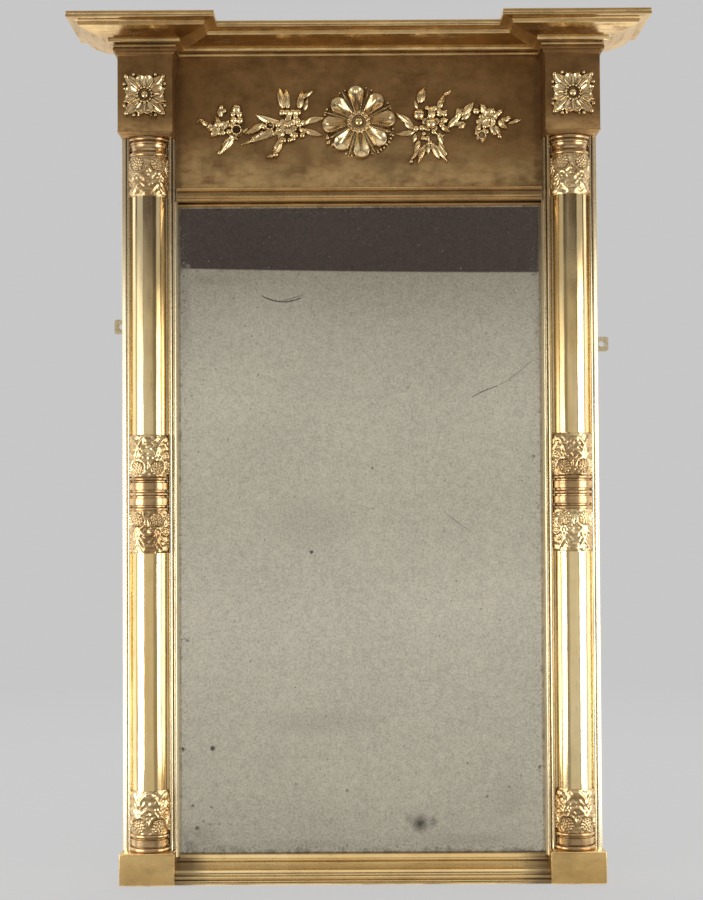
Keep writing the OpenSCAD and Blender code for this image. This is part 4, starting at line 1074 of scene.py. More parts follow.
def flower_height(X, Z):
    """The middle flower: eight hollowed petals over ribbed leaves, and a boss in a dark moat set with beads."""
    rise = settings().ornament.flower_rise / MM
    x0, x1 = span("centre_flower")[0]
    radius, lean = (x1 - x0) / 2, -5.5
    far = np.hypot(X, Z)
    height = np.zeros_like(X)
    for k in range(8):
        turn = lean + 22.5 + 45 * k
        for off, reach in ((-9, 0.90), (0, 0.97), (9, 0.90)):
            leaf = leaf_form(X, Z, 0, 0, turn + off, radius * reach, radius * 0.14, 0, rise * 0.30)
            height = np.maximum(height, leaf)
        for off, reach, size in ((-12, 0.86, 1.3), (-5, 0.93, 1.4), (5, 0.92, 1.4), (12, 0.84, 1.3)):
            height = beaded(height, X, Z, [turn + off], radius * reach, size, rise * 0.5)
    # Seed beads that hang together at the lower right, and three bolder ones at the lower left
    for turn, reach, size in (
        (112, 0.99, 1.7), (118, 0.965, 1.6), (124, 0.98, 1.7), (130, 0.96, 1.7), (136, 0.975, 1.6), (142, 0.955, 1.7),
        (148, 0.97, 1.6), (243, 0.94, 2.1), (236, 0.99, 2.4), (229, 0.93, 2.0),
    ):
        height = beaded(height, X, Z, [turn], radius * reach, size, rise * 0.62)
    for k in range(8):
        reach = radius * (0.99, 0.95, 1.0, 0.93)[k % 4]
        petal = spoon_form(X, Z, lean + 45 * k, radius * 0.22, reach, radius * 0.47, rise * (1.0, 0.88)[k % 2])
        height = np.maximum(height, petal)
    height = np.where(far < radius * 0.30, rise * 0.50, height)
    height = beaded(height, X, Z, np.arange(14) * 360 / 14, radius * 0.262, 1.75, rise * 0.5 + 2.6)
    height = np.where(far < radius * 0.18, rise * 0.22, height)
    return np.maximum(height, dome_form(X, Z, 0, 0, radius * 0.12, rise * 0.95))


class PIERMIRROR_OT_flower(bpy.types.Operator):
    """Casts the flower in the middle of the frieze"""

    bl_idname = "piermirror.flower"
    bl_label = "Middle flower"

    def execute(self, context):
        (x0, x1), _, (z0, z1) = span("centre_flower")
        size = ((x1 - x0) * 1.02,) * 2
        face = span("frieze_panel")[1][1]
        paint = finishes()["gilt composition"]
        cast("centre_flower_cast", "centre_flower", (0, (z0 + z1) / 2), face, size, flower_height, paint, 0.6)
        return {"FINISHED"}


# The sprays, in millimetres from the middle of the flower. Leaves: x, z, turn, length, width, bend, rise.
# Berries: x, z, radius, rise. Blossoms: x, z, radius, petals, rise. Cups: x, z, radius, rise. Curls: x, z, radius,
# start, stop, width, rise. Each rise is a share of the sprays' height.
SPRAYS = {
    "left_outer_spray": {
        "leaves": [
            (-161.5, -3.2, -69, 15, 5, 0.22, 0.55), (-150.7, 6.5, 4, 14.6, 7, 0, 0.5),
            (-151.7, -5.4, -18, 12.5, 7.5, 0, 0.95), (-151.7, -6.5, -90, 13.5, 6.5, 0.1, 0.8),
            (-150.7, -7.6, -124, 13.6, 6, 0, 0.75), (-146.3, -6.5, 27, 10.9, 6, 0, 0.7),
            (-133.4, -0, -120, 10.7, 5, 0.1, 0.9), (-125.8, -10.8, 45, 7.6, 4, 0, 0.5),
            (-138.8, -15.1, -143, 23.1, 6.5, -0.08, 0.62), (-136.6, -15.1, -149, 18.9, 6, 0.05, 0.5),
            (-140.9, -13, 119, 11.1, 4, 0, 0.5),
        ],
        "berries": [
            (-133.2, 15.1, 4.2, 1), (-136.8, 9.4, 2.5, 0.85), (-129.8, 9.1, 2.8, 0.95), (-129.3, 2.4, 3.2, 1),
            (-136.1, 3, 3.1, 0.95), (-149.6, 17.1, 2.1, 0.75), (-146.3, 13, 2.2, 0.75), (-161.9, -2.7, 2.2, 0.85),
            (-158.7, -11, 2.4, 0.95), (-153.6, -11.3, 2.2, 0.8), (-147.4, -0.5, 2.1, 0.85), (-147.4, -10.8, 2.3, 0.9),
            (-141.4, -9.7, 2.4, 0.95), (-152, -32.4, 1.7, 0.6),
        ],
        "blossoms": [
            (-152.3, -6.5, 6.5, 5, 0.75),
        ],
        "cups": [
            (-132.8, -8.1, 6, 0.9),
        ],
        "curls": [
            (-171.7, -0.5, 3.8, 30, 200, 2.4, 0.6),
        ],
    },
    "left_inner_spray": {
        "leaves": [
            (-81.5, 15.1, -16, 24.1, 7.4, 0.05, 0.78), (-77.2, 15.1, -5, 20.6, 6.6, 0, 0.5),
            (-65.3, 15.1, 15, 19, 7.4, -0.05, 0.72), (-62.1, 27, 65, 14.3, 4.6, -0.12, 0.6),
            (-58.9, 13, 13, 13.8, 4.6, 0.05, 0.55), (-80.5, -3.2, -78, 32, 8, 0.16, 0.5),
            (-103.1, -1.1, -122, 22.3, 6.8, 0.05, 0.8), (-84.8, -9.7, -103, 43.2, 6, -0.1, 0.42),
            (-92.3, -7.6, -117, 19.3, 5.6, 0.1, 0.5), (-107.5, -11.9, -129, 14.6, 4.6, 0, 0.55),
            (-62.1, -1.1, 69, 25.5, 6.4, 0.12, 0.5), (-62.1, -3.2, 52, 12.3, 5, 0, 0.75),
            (-59.9, -7.6, 114, 21.3, 6, -0.12, 0.5), (-65.3, -6.5, 119, 9.9, 5, 0, 0.6),
            (-83.7, -16.2, -160, 24.1, 7.4, 0.1, 0.7), (-88, -33.5, -116, 13.8, 4.6, 0.15, 0.5),
            (-74, -7.6, 156, 10.6, 7, 0, 0.55), (-81.5, -8.6, -145, 10.5, 6.5, 0, 0.5),
        ],
        "berries": [
            (-83.5, 10.8, 2.9, 1), (-77.7, 10.6, 2.8, 1), (-71.4, 10.8, 3, 1), (-65.6, 10.8, 2.7, 1),
            (-75.3, 6.5, 2.2, 0.85), (-68.6, 6, 2.3, 0.85), (-88.2, -2.5, 2.5, 1), (-88, -8.2, 2.2, 0.85),
            (-78.9, -2.2, 2.6, 1.05), (-74.3, -1.3, 2.6, 1.05), (-66, 1.7, 2.5, 0.95), (-65.1, -2.8, 2.5, 0.95),
            (-60.4, -0, 2.2, 0.85), (-68.6, -14, 2.5, 0.9), (-61.5, -14, 2.5, 0.9), (-81.8, -19.4, 2.6, 0.9),
            (-75.5, -19.2, 2.1, 0.8), (-71.2, -17.9, 2.2, 0.8), (-85.9, -23.8, 2.1, 0.8), (-89.9, -26.4, 2.4, 0.9),
            (-90.8, -34.8, 2.8, 0.85), (-102.7, -4.8, 2.3, 0.8), (-116.5, -19.7, 1.9, 0.7), (-105.3, -11.3, 1.9, 0.7),
        ],
        "blossoms": [
            (-76.7, -3.2, 8.5, 6, 0.8),
        ],
        "cups": [
            (-96.7, -3.6, 5, 0.75),
        ],
        "curls": [
            (-97.7, -10.8, 4.6, 30, -120, 2, 0.5),
        ],
    },
    "right_inner_spray": {
        "leaves": [
            (65.9, 20.5, 18, 17.1, 9, 0, 0.75), (64.3, 14, -21, 10.4, 4, 0, 0.45),
            (86.9, 13, 17, 20.3, 5.6, 0.1, 0.85), (91.8, 29.2, 59, 9.4, 4.2, 0.1, 0.7),
            (86.9, 14, 18, 12, 6.6, 0, 0.95),
            (59.4, -4.3, -48, 23.3, 6.2, -0.1, 0.5), (60.5, -10.8, -103, 19.4, 5.6, 0.1, 0.5),
            (61, -7.6, -63, 12.1, 5, 0, 0.4), (79.4, 3.2, -2, 14.1, 8, 0, 0.9), (84.8, 6.5, 59, 12.6, 6, 0.1, 0.8),
            (88, -0, 71, 9.7, 6, 0.1, 0.75), (89.1, -5.4, 115, 11.4, 6, 0.1, 0.85),
            (96.7, -6.5, 40, 20.3, 6.4, 0.12, 0.62), (101, -3.2, 79, 13.8, 4.4, 0, 0.45),
            (111.8, 2.2, 56, 12.4, 5, 0, 0.6), (113.9, 7.6, 37, 17, 7.8, 0.06, 0.72),
            (108.5, -7.6, 54, 10, 4.6, 0, 0.6), (105.3, 4.3, 36, 12, 5.4, 0, 0.85),
            (71.8, -24.8, -161, 21.7, 5.8, 0.05, 0.85),
            (66.4, -20.5, -154, 13.8, 5.6, 0, 0.55), (62.1, -13, -164, 10.1, 4.6, 0, 0.5),
            (75.1, -21.6, -178, 13.5, 6, 0, 0.45), (79.4, -22.7, 156, 19.6, 6.6, 0, 0.62),
            (83.7, -25.9, 145, 21.7, 5.2, 0, 0.62), (86.9, -11.9, 162, 12.5, 6.4, 0, 0.6),
            (86.9, -21.6, 151, 16.7, 5, 0, 0.5), (68.6, -27, -142, 21.2, 4, 0.05, 0.45),
        ],
        "berries": [
            (65.3, 7.6, 5, 1.1), (62.1, -7.6, 2.7, 0.95), (68.6, -6.8, 2.7, 0.95), (78.5, -2.2, 4.6, 1.15),
            (69.7, -17.9, 2.1, 0.8), (74.4, -18.4, 2.5, 0.9), (77.2, -23, 2.2, 0.75), (90.2, -3.9, 2.7, 1),
            (93.4, 8.1, 2.6, 0.9), (87.5, 11.3, 2.4, 0.85), (74, 15.1, 2.2, 0.8), (82.6, 14.5, 2.4, 0.9),
            (94.3, -34.8, 1.7, 0.7), (108.1, 11.9, 2.1, 0.9), (111.8, 8.2, 1.9, 0.8), (56.7, -43.2, 1.9, 0.6),
            (70.7, -13, 1.9, 0.7), (81.5, -11.3, 2.4, 0.7),
        ],
        "blossoms": [
            (78.3, -1.6, 8, 5, 0.62),
        ],
        "cups": [],
        "curls": [
            (89.1, -10.8, 5, 200, 330, 2.2, 0.55),
        ],
    },
    "right_outer_spray": {
        "leaves": [
            (138.8, 7.6, -28, 12.8, 8, 0, 0.9), (138.8, 8.6, 55, 10.5, 6.4, 0, 0.75),
            (147.4, 4.3, 40, 13.4, 5.4, 0.12, 0.8), (153.9, -0, 68, 12.8, 5.6, 0.1, 0.75),
            (151.7, 1.1, 135, 13, 7, 0, 0.85), (138.8, 2.2, -113, 11.1, 6.6, 0, 0.7),
            (136.6, 5.4, -99, 7.1, 4.6, 0, 0.8), (162.5, -2.2, 72, 15.4, 4, 0.04, 0.4),
            (148.5, -4.3, 157, 15.2, 5.2, 0, 0.5), (143.1, -3.2, 159, 13.3, 5.4, 0, 0.45),
            (132.3, -3.2, -149, 11.4, 5.6, 0, 0.5), (136.6, -7.6, -170, 15.4, 6.6, 0, 0.6),
        ],
        "berries": [
            (127.5, 11, 3, 1.05), (135.5, 14.9, 3.1, 0.95), (146.3, 11, 2.3, 0.85), (153.9, 10.4, 2.3, 0.85),
            (140.3, 2.2, 2.8, 0.95), (146.3, 1.1, 2.3, 1), (132.3, 5.4, 1.9, 0.8), (136.6, -5.4, 2.2, 0.9),
            (140.5, -4.3, 1.9, 0.85), (156.6, -2.2, 2.7, 0.9), (163.1, 3.9, 2.2, 0.8), (128.2, -12.5, 2.2, 0.75),
            (138.8, -11.3, 2.2, 0.75), (153, -16.2, 2.3, 0.85), (147.4, -13.2, 1.8, 0.65), (129.5, -0, 1.9, 0.7),
        ],
        "blossoms": [
            (142.6, 3.2, 7, 5, 0.7),
        ],
        "cups": [
            (133.4, -14.9, 5, 0.65),
        ],
        "curls": [
            (172.3, -1.1, 3.4, 150, 20, 1.8, 0.4),
        ],
    },
}


def spray_height(spray, X, Z):
    """One spray: leaves below, then tendrils, blossoms, cups and berries, each fuller than its stalk."""
    rise = settings().ornament.spray_rise / MM
    height = np.zeros_like(X)
    for x, z, turn, length, wide, bend, up in spray["leaves"]:
        height = np.maximum(height, leaf_form(X, Z, x, z, turn, length * 1.06, wide * 1.2, bend, rise * up, 0.12))
    for x, z, radius, start, stop, wide, up in spray["curls"]:
        height = np.maximum(height, curl_form(X, Z, x, z, radius, start, stop, wide * 1.3, rise * up))
    for x, z, radius, petals, up in spray["blossoms"]:
        height = np.maximum(height, blossom_form(X, Z, x, z, radius * 1.3, petals, rise * up, 90))
    for x, z, radius, up in spray["cups"]:
        height = np.where(np.hypot(X - x, Z - z) < radius, np.minimum(height, rise * 0.15), height)
        height = np.maximum(height, cup_form(X, Z, x, z, radius * 1.15, rise * up))
    for x, z, radius, up in spray["berries"]:
        height = np.maximum(height, dome_form(X, Z, x, z, radius * 1.3, min(rise * up, radius * 2.2)))
    return height


class PIERMIRROR_OT_sprays(bpy.types.Operator):
    """Casts the four sprays of leaves, blossoms and berries on the frieze"""

    bl_idname = "piermirror.sprays"
    bl_label = "Sprays"

    def execute(self, context):
        face = span("frieze_panel")[1][1]
        middle = sum(span("centre_flower")[2]) / 2
        for name, spray in SPRAYS.items():
            xs = [q[0] for key in spray for q in spray[key]]
            zs = [q[1] for key in spray for q in spray[key]]
            for x, z, turn, length, *_ in spray["leaves"]:
                xs.append(x + length * math.sin(math.radians(turn)))
                zs.append(z + length * math.cos(math.radians(turn)))
            cx, cz = (min(xs) + max(xs)) / 2, (min(zs) + max(zs)) / 2
            size = (max(xs) - min(xs) + 14, max(zs) - min(zs) + 14)
            paint = finishes()["gilt composition"]
            cast(
                name + "_cast", name, (cx, middle + cz), face, size,
                lambda X, Z: spray_height(spray, X + cx, Z + cz), paint,
            )
        return {"FINISHED"}


class PIERMIRROR_OT_frieze(bpy.types.Operator):
    """Lays the flat ground of the frieze, darkened round the ornament and along its borders as soiling and painted
    shade
    """

    bl_idname = "piermirror.frieze"
    bl_label = "Frieze ground"

    def execute(self, context):
        grain = 1.5
        (x0, x1), (back, face), (z0, z1) = span("frieze_panel")
        middle = sum(span("centre_flower")[2]) / 2
        piece, order, across, up = grid_of(int((x1 - x0) / grain), int((z1 - z0) / grain))
        X, Z = (across + 0.5) * (x1 - x0) + x0, (up + 0.5) * (z1 - z0) + z0
        relief = np.minimum(flower_height(X, Z - middle), 1) * (np.hypot(X, Z - middle) < 42)
        for spray in SPRAYS.values():
            relief = np.maximum(relief, np.minimum(spray_height(spray, X, Z - middle), 1))
        seat = -span("left_die")[0][1]
        low, high = span("head_moulding")[2][1], span("cornice_centre")[2][0]
        border = np.minimum(seat - np.abs(X), np.minimum((Z - low) * 2.5, (high - Z) * 1.8))
        wave = 3 * np.sin(X / 17 + np.sin(Z / 9)) + 2 * np.sin(Z / 7 + X / 23)
        # Painted shade: a darker halo round the ornament, and a darker band along the head moulding, the cornice and
        # the corner blocks
        round_relief = 0.75 * np.clip(blurred(relief, 22) * 1.2, 0, 1)
        along_border = 0.55 * np.exp(-np.clip(border + wave * 0.6, 0, 99) / 5)
        raise_grid(piece, order, X, np.full_like(X, face), Z, np.clip(round_relief + along_border, 0, 1))
        rim_out((0, (face - back) * MM, 0))
        bpy.ops.mesh.edge_face_add()
        closed()
        end(piece, "frieze_panel_gilt", "frieze_panel", finishes()["matt oil gilding"], 40)
        return {"FINISHED"}


def pine(name, along, light, mid, dark):
    """Softwood, planed and left bare at the back: growth rings drawn out along the board, a few knots, dusty patches.
    """
    tree = blank(name)
    where = add(tree, "TexCoord").outputs["Object"]
    drawn = add(tree, "Mapping", where, None, None, [1 / s for s in along])
    # The grain's bands lie about 2.5 mm apart across the board
    swell = add(tree, "TexNoise", drawn, per(34), 2.0, 0.5)
    bands = add(tree, "Math", swell, 14.0, operation="MULTIPLY")
    bands = add(tree, "Math", bands, operation="FRACT")
    bands = add(tree, "Math", bands, 0.5, operation="SUBTRACT")
    bands = add(tree, "Math", bands, operation="ABSOLUTE")
    fibre = add(tree, "TexNoise", drawn, per(1.1), 3.0, 0.6)
    blotch = add(tree, "TexNoise", where, per(90), 3.0, 0.5)
    colour = add(tree, "Mix", add(tree, "MapRange", bands, 0.12, 0.42), linear(dark), linear(mid), data_type="RGBA")
    grain = add(tree, "MapRange", fibre, 0.35, 0.70, 0.0, 0.35)
    colour = add(tree, "Mix", grain, colour, linear(light), data_type="RGBA")
    dust_and_shade = add(tree, "MapRange", blotch, 0.42, 0.75, 0.0, 0.45)
    colour = add(tree, "Mix", dust_and_shade, colour, linear("5B4630"), data_type="RGBA")
    # Knots about 8 mm across, some 160 mm apart
    knot = add(tree, "TexVoronoi", where, per(165)).outputs["Distance"]
    knot = add(tree, "MapRange", knot, 0.035, 0.075, 0.75, 0.0)
    colour = add(tree, "Mix", knot, colour, linear("3A2416"), data_type="RGBA")
    rough = add(tree, "MapRange", fibre, 0.3, 0.7, 0.62, 0.85)
    bump = add(tree, "Bump", 1.0, 0.15 * MM, None, add(tree, "Math", bands, 0.5, fibre, operation="MULTIPLY_ADD"))
    add(tree, "OutputMaterial", add(tree, "BsdfPrincipled", Base_Color=colour, Roughness=rough, Normal=bump))
    return bpy.data.materials[name]


def old_metal(name, clean, dark, polish, size_mm):
    """Metal dulled by handling and damp: patches of tarnish and fine pits."""
    tree = blank(name)
    where = add(tree, "TexCoord").outputs["Object"]
    patches = add(tree, "TexNoise", where, per(size_mm), 5.0, 0.65)
    pits = add(tree, "TexNoise", where, per(0.7), 2.0, 0.6)
    tarnish = add(tree, "MapRange", patches, 0.40, 0.66)
    colour = add(tree, "Mix", tarnish, linear(clean), linear(dark), data_type="RGBA")
    metal = add(tree, "MapRange", tarnish, 0.0, 1.0, 1.0, 0.55)
    rough = add(tree, "MapRange", tarnish, 0.0, 1.0, *polish)
    rough = add(tree, "Math", pits, 0.1, rough, operation="MULTIPLY_ADD")
    bump = add(tree, "Bump", 1.0, 0.06 * MM, None, pits)
    shader = add(tree, "BsdfPrincipled", Base_Color=colour, Metallic=metal, Roughness=rough, Normal=bump)
    add(tree, "OutputMaterial", shader)
    return bpy.data.materials[name]


def gilt_edge_board(leaf, deep):
    """The finish of a thin board that is gilded on its edges only, its top left bare and dusty."""
    tree = gilding("gilt edge and bare top", leaf, deep, (0.26, 0.42), 0.6, 0.9, (6, 1, 1), 0.06, 0.3).node_tree
    shader = next(node for node in tree.nodes if node.type == "BSDF_PRINCIPLED")
    gold = {key: shader.inputs[key].links[0].from_socket for key in ("Base Color", "Metallic", "Roughness")}
    where = add(tree, "TexCoord").outputs["Object"]
    height = add(tree, "SeparateXYZ", where).outputs["Z"]
    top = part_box("top_board")[1][2]
    bare = add(tree, "MapRange", height, top - 0.30 * MM, top - 0.1 * MM)
    drawn = add(tree, "Mapping", where, None, None, (1 / 6, 1, 1))
    dust_and_shade = add(tree, "MapRange", add(tree, "TexNoise", drawn, per(30), 4.0, 0.6), 0.35, 0.65)
    wood = add(tree, "Mix", dust_and_shade, linear("6E5738"), linear("8F7B5C"), data_type="RGBA")
    colour = add(tree, "Mix", bare, gold["Base Color"], wood, data_type="RGBA").outputs[2]
    metal = add(tree, "MapRange", bare, 0.0, 1.0, gold["Metallic"], 0.0).outputs[0]
    rough = add(tree, "MapRange", bare, 0.0, 1.0, gold["Roughness"], 0.8).outputs[0]
    for key, value in (("Base Color", colour), ("Metallic", metal), ("Roughness", rough)):
        tree.links.new(value, shader.inputs[key])


# Faults of the plate, in millimetres of the frame. Spots: x, z, radius, softness, strength.
SPOTS = (
    (-53.5, 349.5, 1.6, 1.2, 0.85), (-161.0, 139.0, 2.4, 1.4, 0.85), (62.0, 57.0, 5.0, 7.0, 0.85),
    (76.0, 59.0, 3.0, 4.0, 0.4), (50.0, 62.0, 2.5, 4.0, 0.3), (-183.0, 77.5, 1.4, 1.0, 0.6),
    (-178.0, 53.0, 1.8, 1.4, 0.7), (12.5, 440.0, 1.2, 1.0, 0.5), (-162.0, 75.5, 1.4, 1.0, 0.5),
    (-193.0, 138.0, 1.6, 1.0, 0.8), (-188.0, 255.0, 1.4, 1.0, 0.5), (90.0, 372.0, 1.5, 2.0, 0.3),
    (-186.0, 660.0, 1.5, 1.0, 0.5), (191.0, 117.0, 1.6, 1.2, 0.6), (187.0, 452.0, 1.4, 1.2, 0.5),
    (-120.0, 232.0, 1.0, 0.8, 0.4), (-171.0, 61.0, 0.9, 1.0, 0.6), (-164.5, 57.4, 0.8, 0.9, 0.5),
    (-154.5, 57.0, 0.9, 0.9, 0.6), (-142.0, 57.0, 0.8, 0.8, 0.5), (113.6, 121.7, 1.0, 0.9, 0.55),
    (-16.5, 92.6, 1.0, 0.9, 0.6), (134.0, 86.0, 1.2, 1.1, 0.55), (39.0, 104.0, 0.8, 0.8, 0.5),
    (-72.0, 100.0, 0.8, 0.8, 0.5), (158.0, 96.0, 0.9, 0.9, 0.5), (171.0, 108.0, 0.9, 0.8, 0.5),
    (-38.0, 126.0, 0.8, 0.7, 0.45),
)
# Scratches: from x, z to x, z, sag, width, strength
SCRATCHES = (
    (-107.0, 628.0, -62.0, 626.0, -6.0, 0.9, 0.85), (-86.0, 622.5, -60.0, 629.0, -1.0, 0.6, 0.5),
    (120.0, 516.0, 150.0, 529.0, 0.8, 0.8, 0.7), (150.0, 529.0, 186.0, 556.0, -2.0, 0.6, 0.5),
    (89.0, 394.0, 119.0, 371.0, -1.5, 0.6, 0.5), (108.0, 296.0, 138.0, 307.0, 2.0, 0.5, 0.15),
)
# Darker patches: x, z, half width, half height, strength. Those along the foot of the plate are painted reflections
DARK_PATCHES = (
    (-57.0, 382.0, 70.0, 30.0, 0.25), (-45.0, 166.0, 80.0, 16.0, 0.32), (-193.0, 610.0, 12.0, 75.0, 0.55),
    (-178.0, 44.0, 30.0, 16.0, 0.6), (196.0, 600.0, 9.0, 90.0, 0.4), (120.0, 40.0, 60.0, 9.0, 0.4),
    (-60.0, 36.0, 70.0, 7.0, 0.3), (-190.0, 34.0, 24.0, 11.0, 1.0), (-150.0, 31.0, 40.0, 5.0, 0.8),
    (-165.0, 645.0, 40.0, 8.0, 0.4), (159.0, 85.0, 32.0, 24.0, 0.28), (-196.0, 690.0, 9.0, 60.0, 0.8),
    (198.0, 690.0, 9.0, 60.0, 0.6),
)


def old_plate():
    """Plate glass with tin and mercury silvering: greyish, speckled all over, tarnished from its edges, faulty."""
    look = settings().glass
    name, covered = "old silvered plate", 6
    tree = blank(name)
    (_, x1), _, (z0, z1) = span("mirror_plate")
    where = add(tree, "TexCoord").outputs["Object"]
    axes = add(tree, "SeparateXYZ", where)
    x, z = axes.outputs["X"], axes.outputs["Z"]
    flat = add(tree, "CombineXYZ", x, 0.0, z)
    speck = add(tree, "TexNoise", where, per(2.2), 2.0, 0.6)
    mottle = add(tree, "TexNoise", where, per(9), 4.0, 0.65)
    cloud = add(tree, "TexNoise", where, per(120), 3.0, 0.5)
    shade = add(tree, "MapRange", speck, 0.30, 0.62, 0.72, 1.0)
    shade = add(tree, "Math", mottle, 0.40, shade, operation="MULTIPLY_ADD")
    shade = add(tree, "Math", cloud, 0.22, shade, operation="MULTIPLY_ADD")
    shade = add(tree, "Math", shade, 0.27, operation="SUBTRACT")
    grey = add(tree, "CombineColor", shade, shade, shade)
    colour = add(tree, "Mix", 1.0, look.silver, grey, data_type="RGBA", blend_type="MULTIPLY")
    # Pinholes: dark dots under a millimetre, a few to the square centimetre
    dots = add(tree, "TexVoronoi", where, per(6.5))
    chosen = add(tree, "SeparateColor", dots.outputs["Color"])
    keep = add(tree, "MapRange", chosen.outputs["Red"], 0.55, 0.98)
    deepest = add(tree, "MapRange", cloud, 0.35, 0.65, 0.35, 0.85)
    pin = add(tree, "MapRange", dots.outputs["Distance"], 0.06, 0.17, deepest, 0.0)
    fault = add(tree, "Math", pin, keep, operation="MULTIPLY")
    # Tarnish creeps in unevenly from the edges of what shows of the plate, since the mouldings cover its rim
    side = add(tree, "Math", (x1 - covered) * MM, add(tree, "Math", x, operation="ABSOLUTE"), operation="SUBTRACT")
    foot = add(tree, "Math", z, (z0 + covered) * MM, operation="SUBTRACT")
    head = add(tree, "Math", (z1 - covered) * MM, z, operation="SUBTRACT")
    nearest = add(tree, "Math", add(tree, "Math", side, foot, operation="MINIMUM"), head, operation="MINIMUM")
    creep = add(tree, "TexNoise", where, per(12), 5.0, 0.7)
    ragged = add(tree, "Math", creep, 0.030, nearest, operation="MULTIPLY_ADD")
    tarnish = add(tree, "MapRange", ragged, 0.0105, 0.0165, 0.8, 0.0)
    flecks = add(tree, "TexNoise", where, per(2.6), 3.0, 0.7)
    fringe = add(tree, "MapRange", nearest, 0.0, 0.014, 0.7, 0.0)
    fringe = add(tree, "Math", fringe, add(tree, "MapRange", flecks, 0.56, 0.68), operation="MULTIPLY")
    fault = add(tree, "Math", fault, fringe, operation="MAXIMUM")
    for sx, sz, radius, soft, strength in SPOTS:
        far = add(tree, "VectorMath", flat, (sx * MM, 0, sz * MM), operation="DISTANCE")
        far = add(tree, "Math", speck, 0.0025, far, operation="MULTIPLY_ADD")
        inner, outer = (radius - soft * 0.5 + 1.2) * MM, (radius + soft + 1.2) * MM
        spot = add(tree, "MapRange", far, inner, outer, strength, 0.0)
        fault = add(tree, "Math", fault, spot, operation="MAXIMUM")
    for ax, az, bx, bz, sag, width, strength in SCRATCHES:
        t = add(tree, "MapRange", x, ax * MM, bx * MM)
        bow = add(tree, "Math", t, add(tree, "Math", 1.0, t, operation="SUBTRACT"), operation="MULTIPLY")
        line = add(tree, "Math", t, (bz - az) * MM, az * MM, operation="MULTIPLY_ADD")
        line = add(tree, "Math", bow, 4 * sag * MM, line, operation="MULTIPLY_ADD")
        rough_z = add(tree, "Math", speck, 0.0018, z, operation="MULTIPLY_ADD")
        off = add(tree, "Math", add(tree, "Math", rough_z, line, operation="SUBTRACT"), 0.0009, operation="SUBTRACT")
        off = add(tree, "Math", off, operation="ABSOLUTE")
        mark = add(tree, "MapRange", off, width * 0.3 * MM, width * 1.2 * MM, strength, 0.0)
        start, stop = add(tree, "MapRange", t, 0.0, 0.06), add(tree, "MapRange", t, 0.94, 1.0, 1.0, 0.0)
        ends = add(tree, "Math", start, stop, operation="MULTIPLY")
        mark = add(tree, "Math", mark, ends, operation="MULTIPLY")
        fault = add(tree, "Math", fault, mark, operation="MAXIMUM")
    # Darker patches join the tarnish; those along the foot are painted reflections
    for sx, sz, wide, high, strength in DARK_PATCHES:
        off = add(tree, "VectorMath", flat, (sx * MM, 0, sz * MM), operation="SUBTRACT")
        off = add(tree, "VectorMath", off, (per(wide), 1, per(high)), operation="MULTIPLY")
        far = add(tree, "VectorMath", off, operation="LENGTH").outputs["Value"]
        patch = add(tree, "MapRange", far, 0.3, 1.0, strength, 0.0)
        patch = add(tree, "Math", patch, add(tree, "MapRange", mottle, 0.35, 0.65), operation="MULTIPLY")
        tarnish = add(tree, "Math", tarnish, patch, operation="MAXIMUM")
    share = add(tree, "Math", tarnish, 0.75, operation="MULTIPLY")
    colour = add(tree, "Mix", share, colour, look.edge, data_type="RGBA")
    colour = add(tree, "Mix", fault, colour, look.fault, data_type="RGBA")
    metal = add(tree, "Math", fault, -0.5, 1.0, operation="MULTIPLY_ADD", use_clamp=True)
    rough = add(tree, "Math", fault, 0.35, 0.004, operation="MULTIPLY_ADD")
    rough = add(tree, "Math", tarnish, 0.10, rough, operation="MULTIPLY_ADD")
    add(tree, "OutputMaterial", add(tree, "BsdfPrincipled", Base_Color=colour, Metallic=metal, Roughness=rough))
    return bpy.data.materials[name]


class PIERMIRROR_OT_carcase(bpy.types.Operator):
    """Finishes the parts that keep their own shape: glass, pine, pegs, nails, screws and brass plates"""

    bl_idname = "piermirror.carcase"
    bl_label = "Glass, carcase and fittings"

    def execute(self, context):
        upright = pine("bare pine upright", (1, 1, 14), "C2A679", "A98A5E", "7C5F3C")
        across = pine("bare pine across", (14, 1, 1), "C2A679", "A98A5E", "7C5F3C")
        board = pine("dusty pine board", (14, 1, 1), "9A7F5A", "7F6342", "5E452B")
        oak = pine("riven oak", (1, 5, 1), "86653F", "6F4F30", "5A3D22")
        iron = old_metal("hand-forged iron", "4A4642", "2E1C12", (0.45, 0.75), 5)
        brass = old_metal("aged sheet brass", "DDD3BC", "A8976E", (0.24, 0.5), 7)
        for material, nodes in (
            (upright, ("left_stile", "right_stile")),
            (across, ("top_rail", "frieze_rail", "bottom_rail", "glazing_blocks", "cornice_glue_blocks")),
            (board, ("backboard_upper", "backboard_middle", "backboard_lower")),
            (oak, ("joint_pegs",)),
            (old_plate(), ("mirror_plate",)),
            (iron, ("backboard_nails", "hanging_plate_screws")),
            (brass, ("left_hanging_plate", "right_hanging_plate")),
        ):
            for node in nodes:
                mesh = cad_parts[node].data
                mesh.materials.clear()
                mesh.materials.append(material)
        return {"FINISHED"}


# What polished surfaces see in front of the mirror, by the sine of the height: a warm wall up to 0.12, then the dark
# room over it, and a bright ceiling
ROOM = (
    (-0.60, (0.50, 0.43, 0.35)), (-0.35, (0.55, 0.50, 0.43)), (-0.185, (0.60, 0.58, 0.52)),
    (-0.152, (0.72, 0.70, 0.635)), (-0.058, (0.82, 0.80, 0.74)), (0.0, (0.74, 0.72, 0.655)),
    (0.049, (0.775, 0.755, 0.69)), (0.092, (0.66, 0.64, 0.58)), (0.1225, (0.47, 0.45, 0.40)),
    (0.14, (0.107, 0.087, 0.086)), (0.27, (0.115, 0.095, 0.085)), (0.40, (0.17, 0.14, 0.12)),
    (0.52, (0.60, 0.58, 0.54)), (0.60, (0.95, 0.93, 0.88)),
)


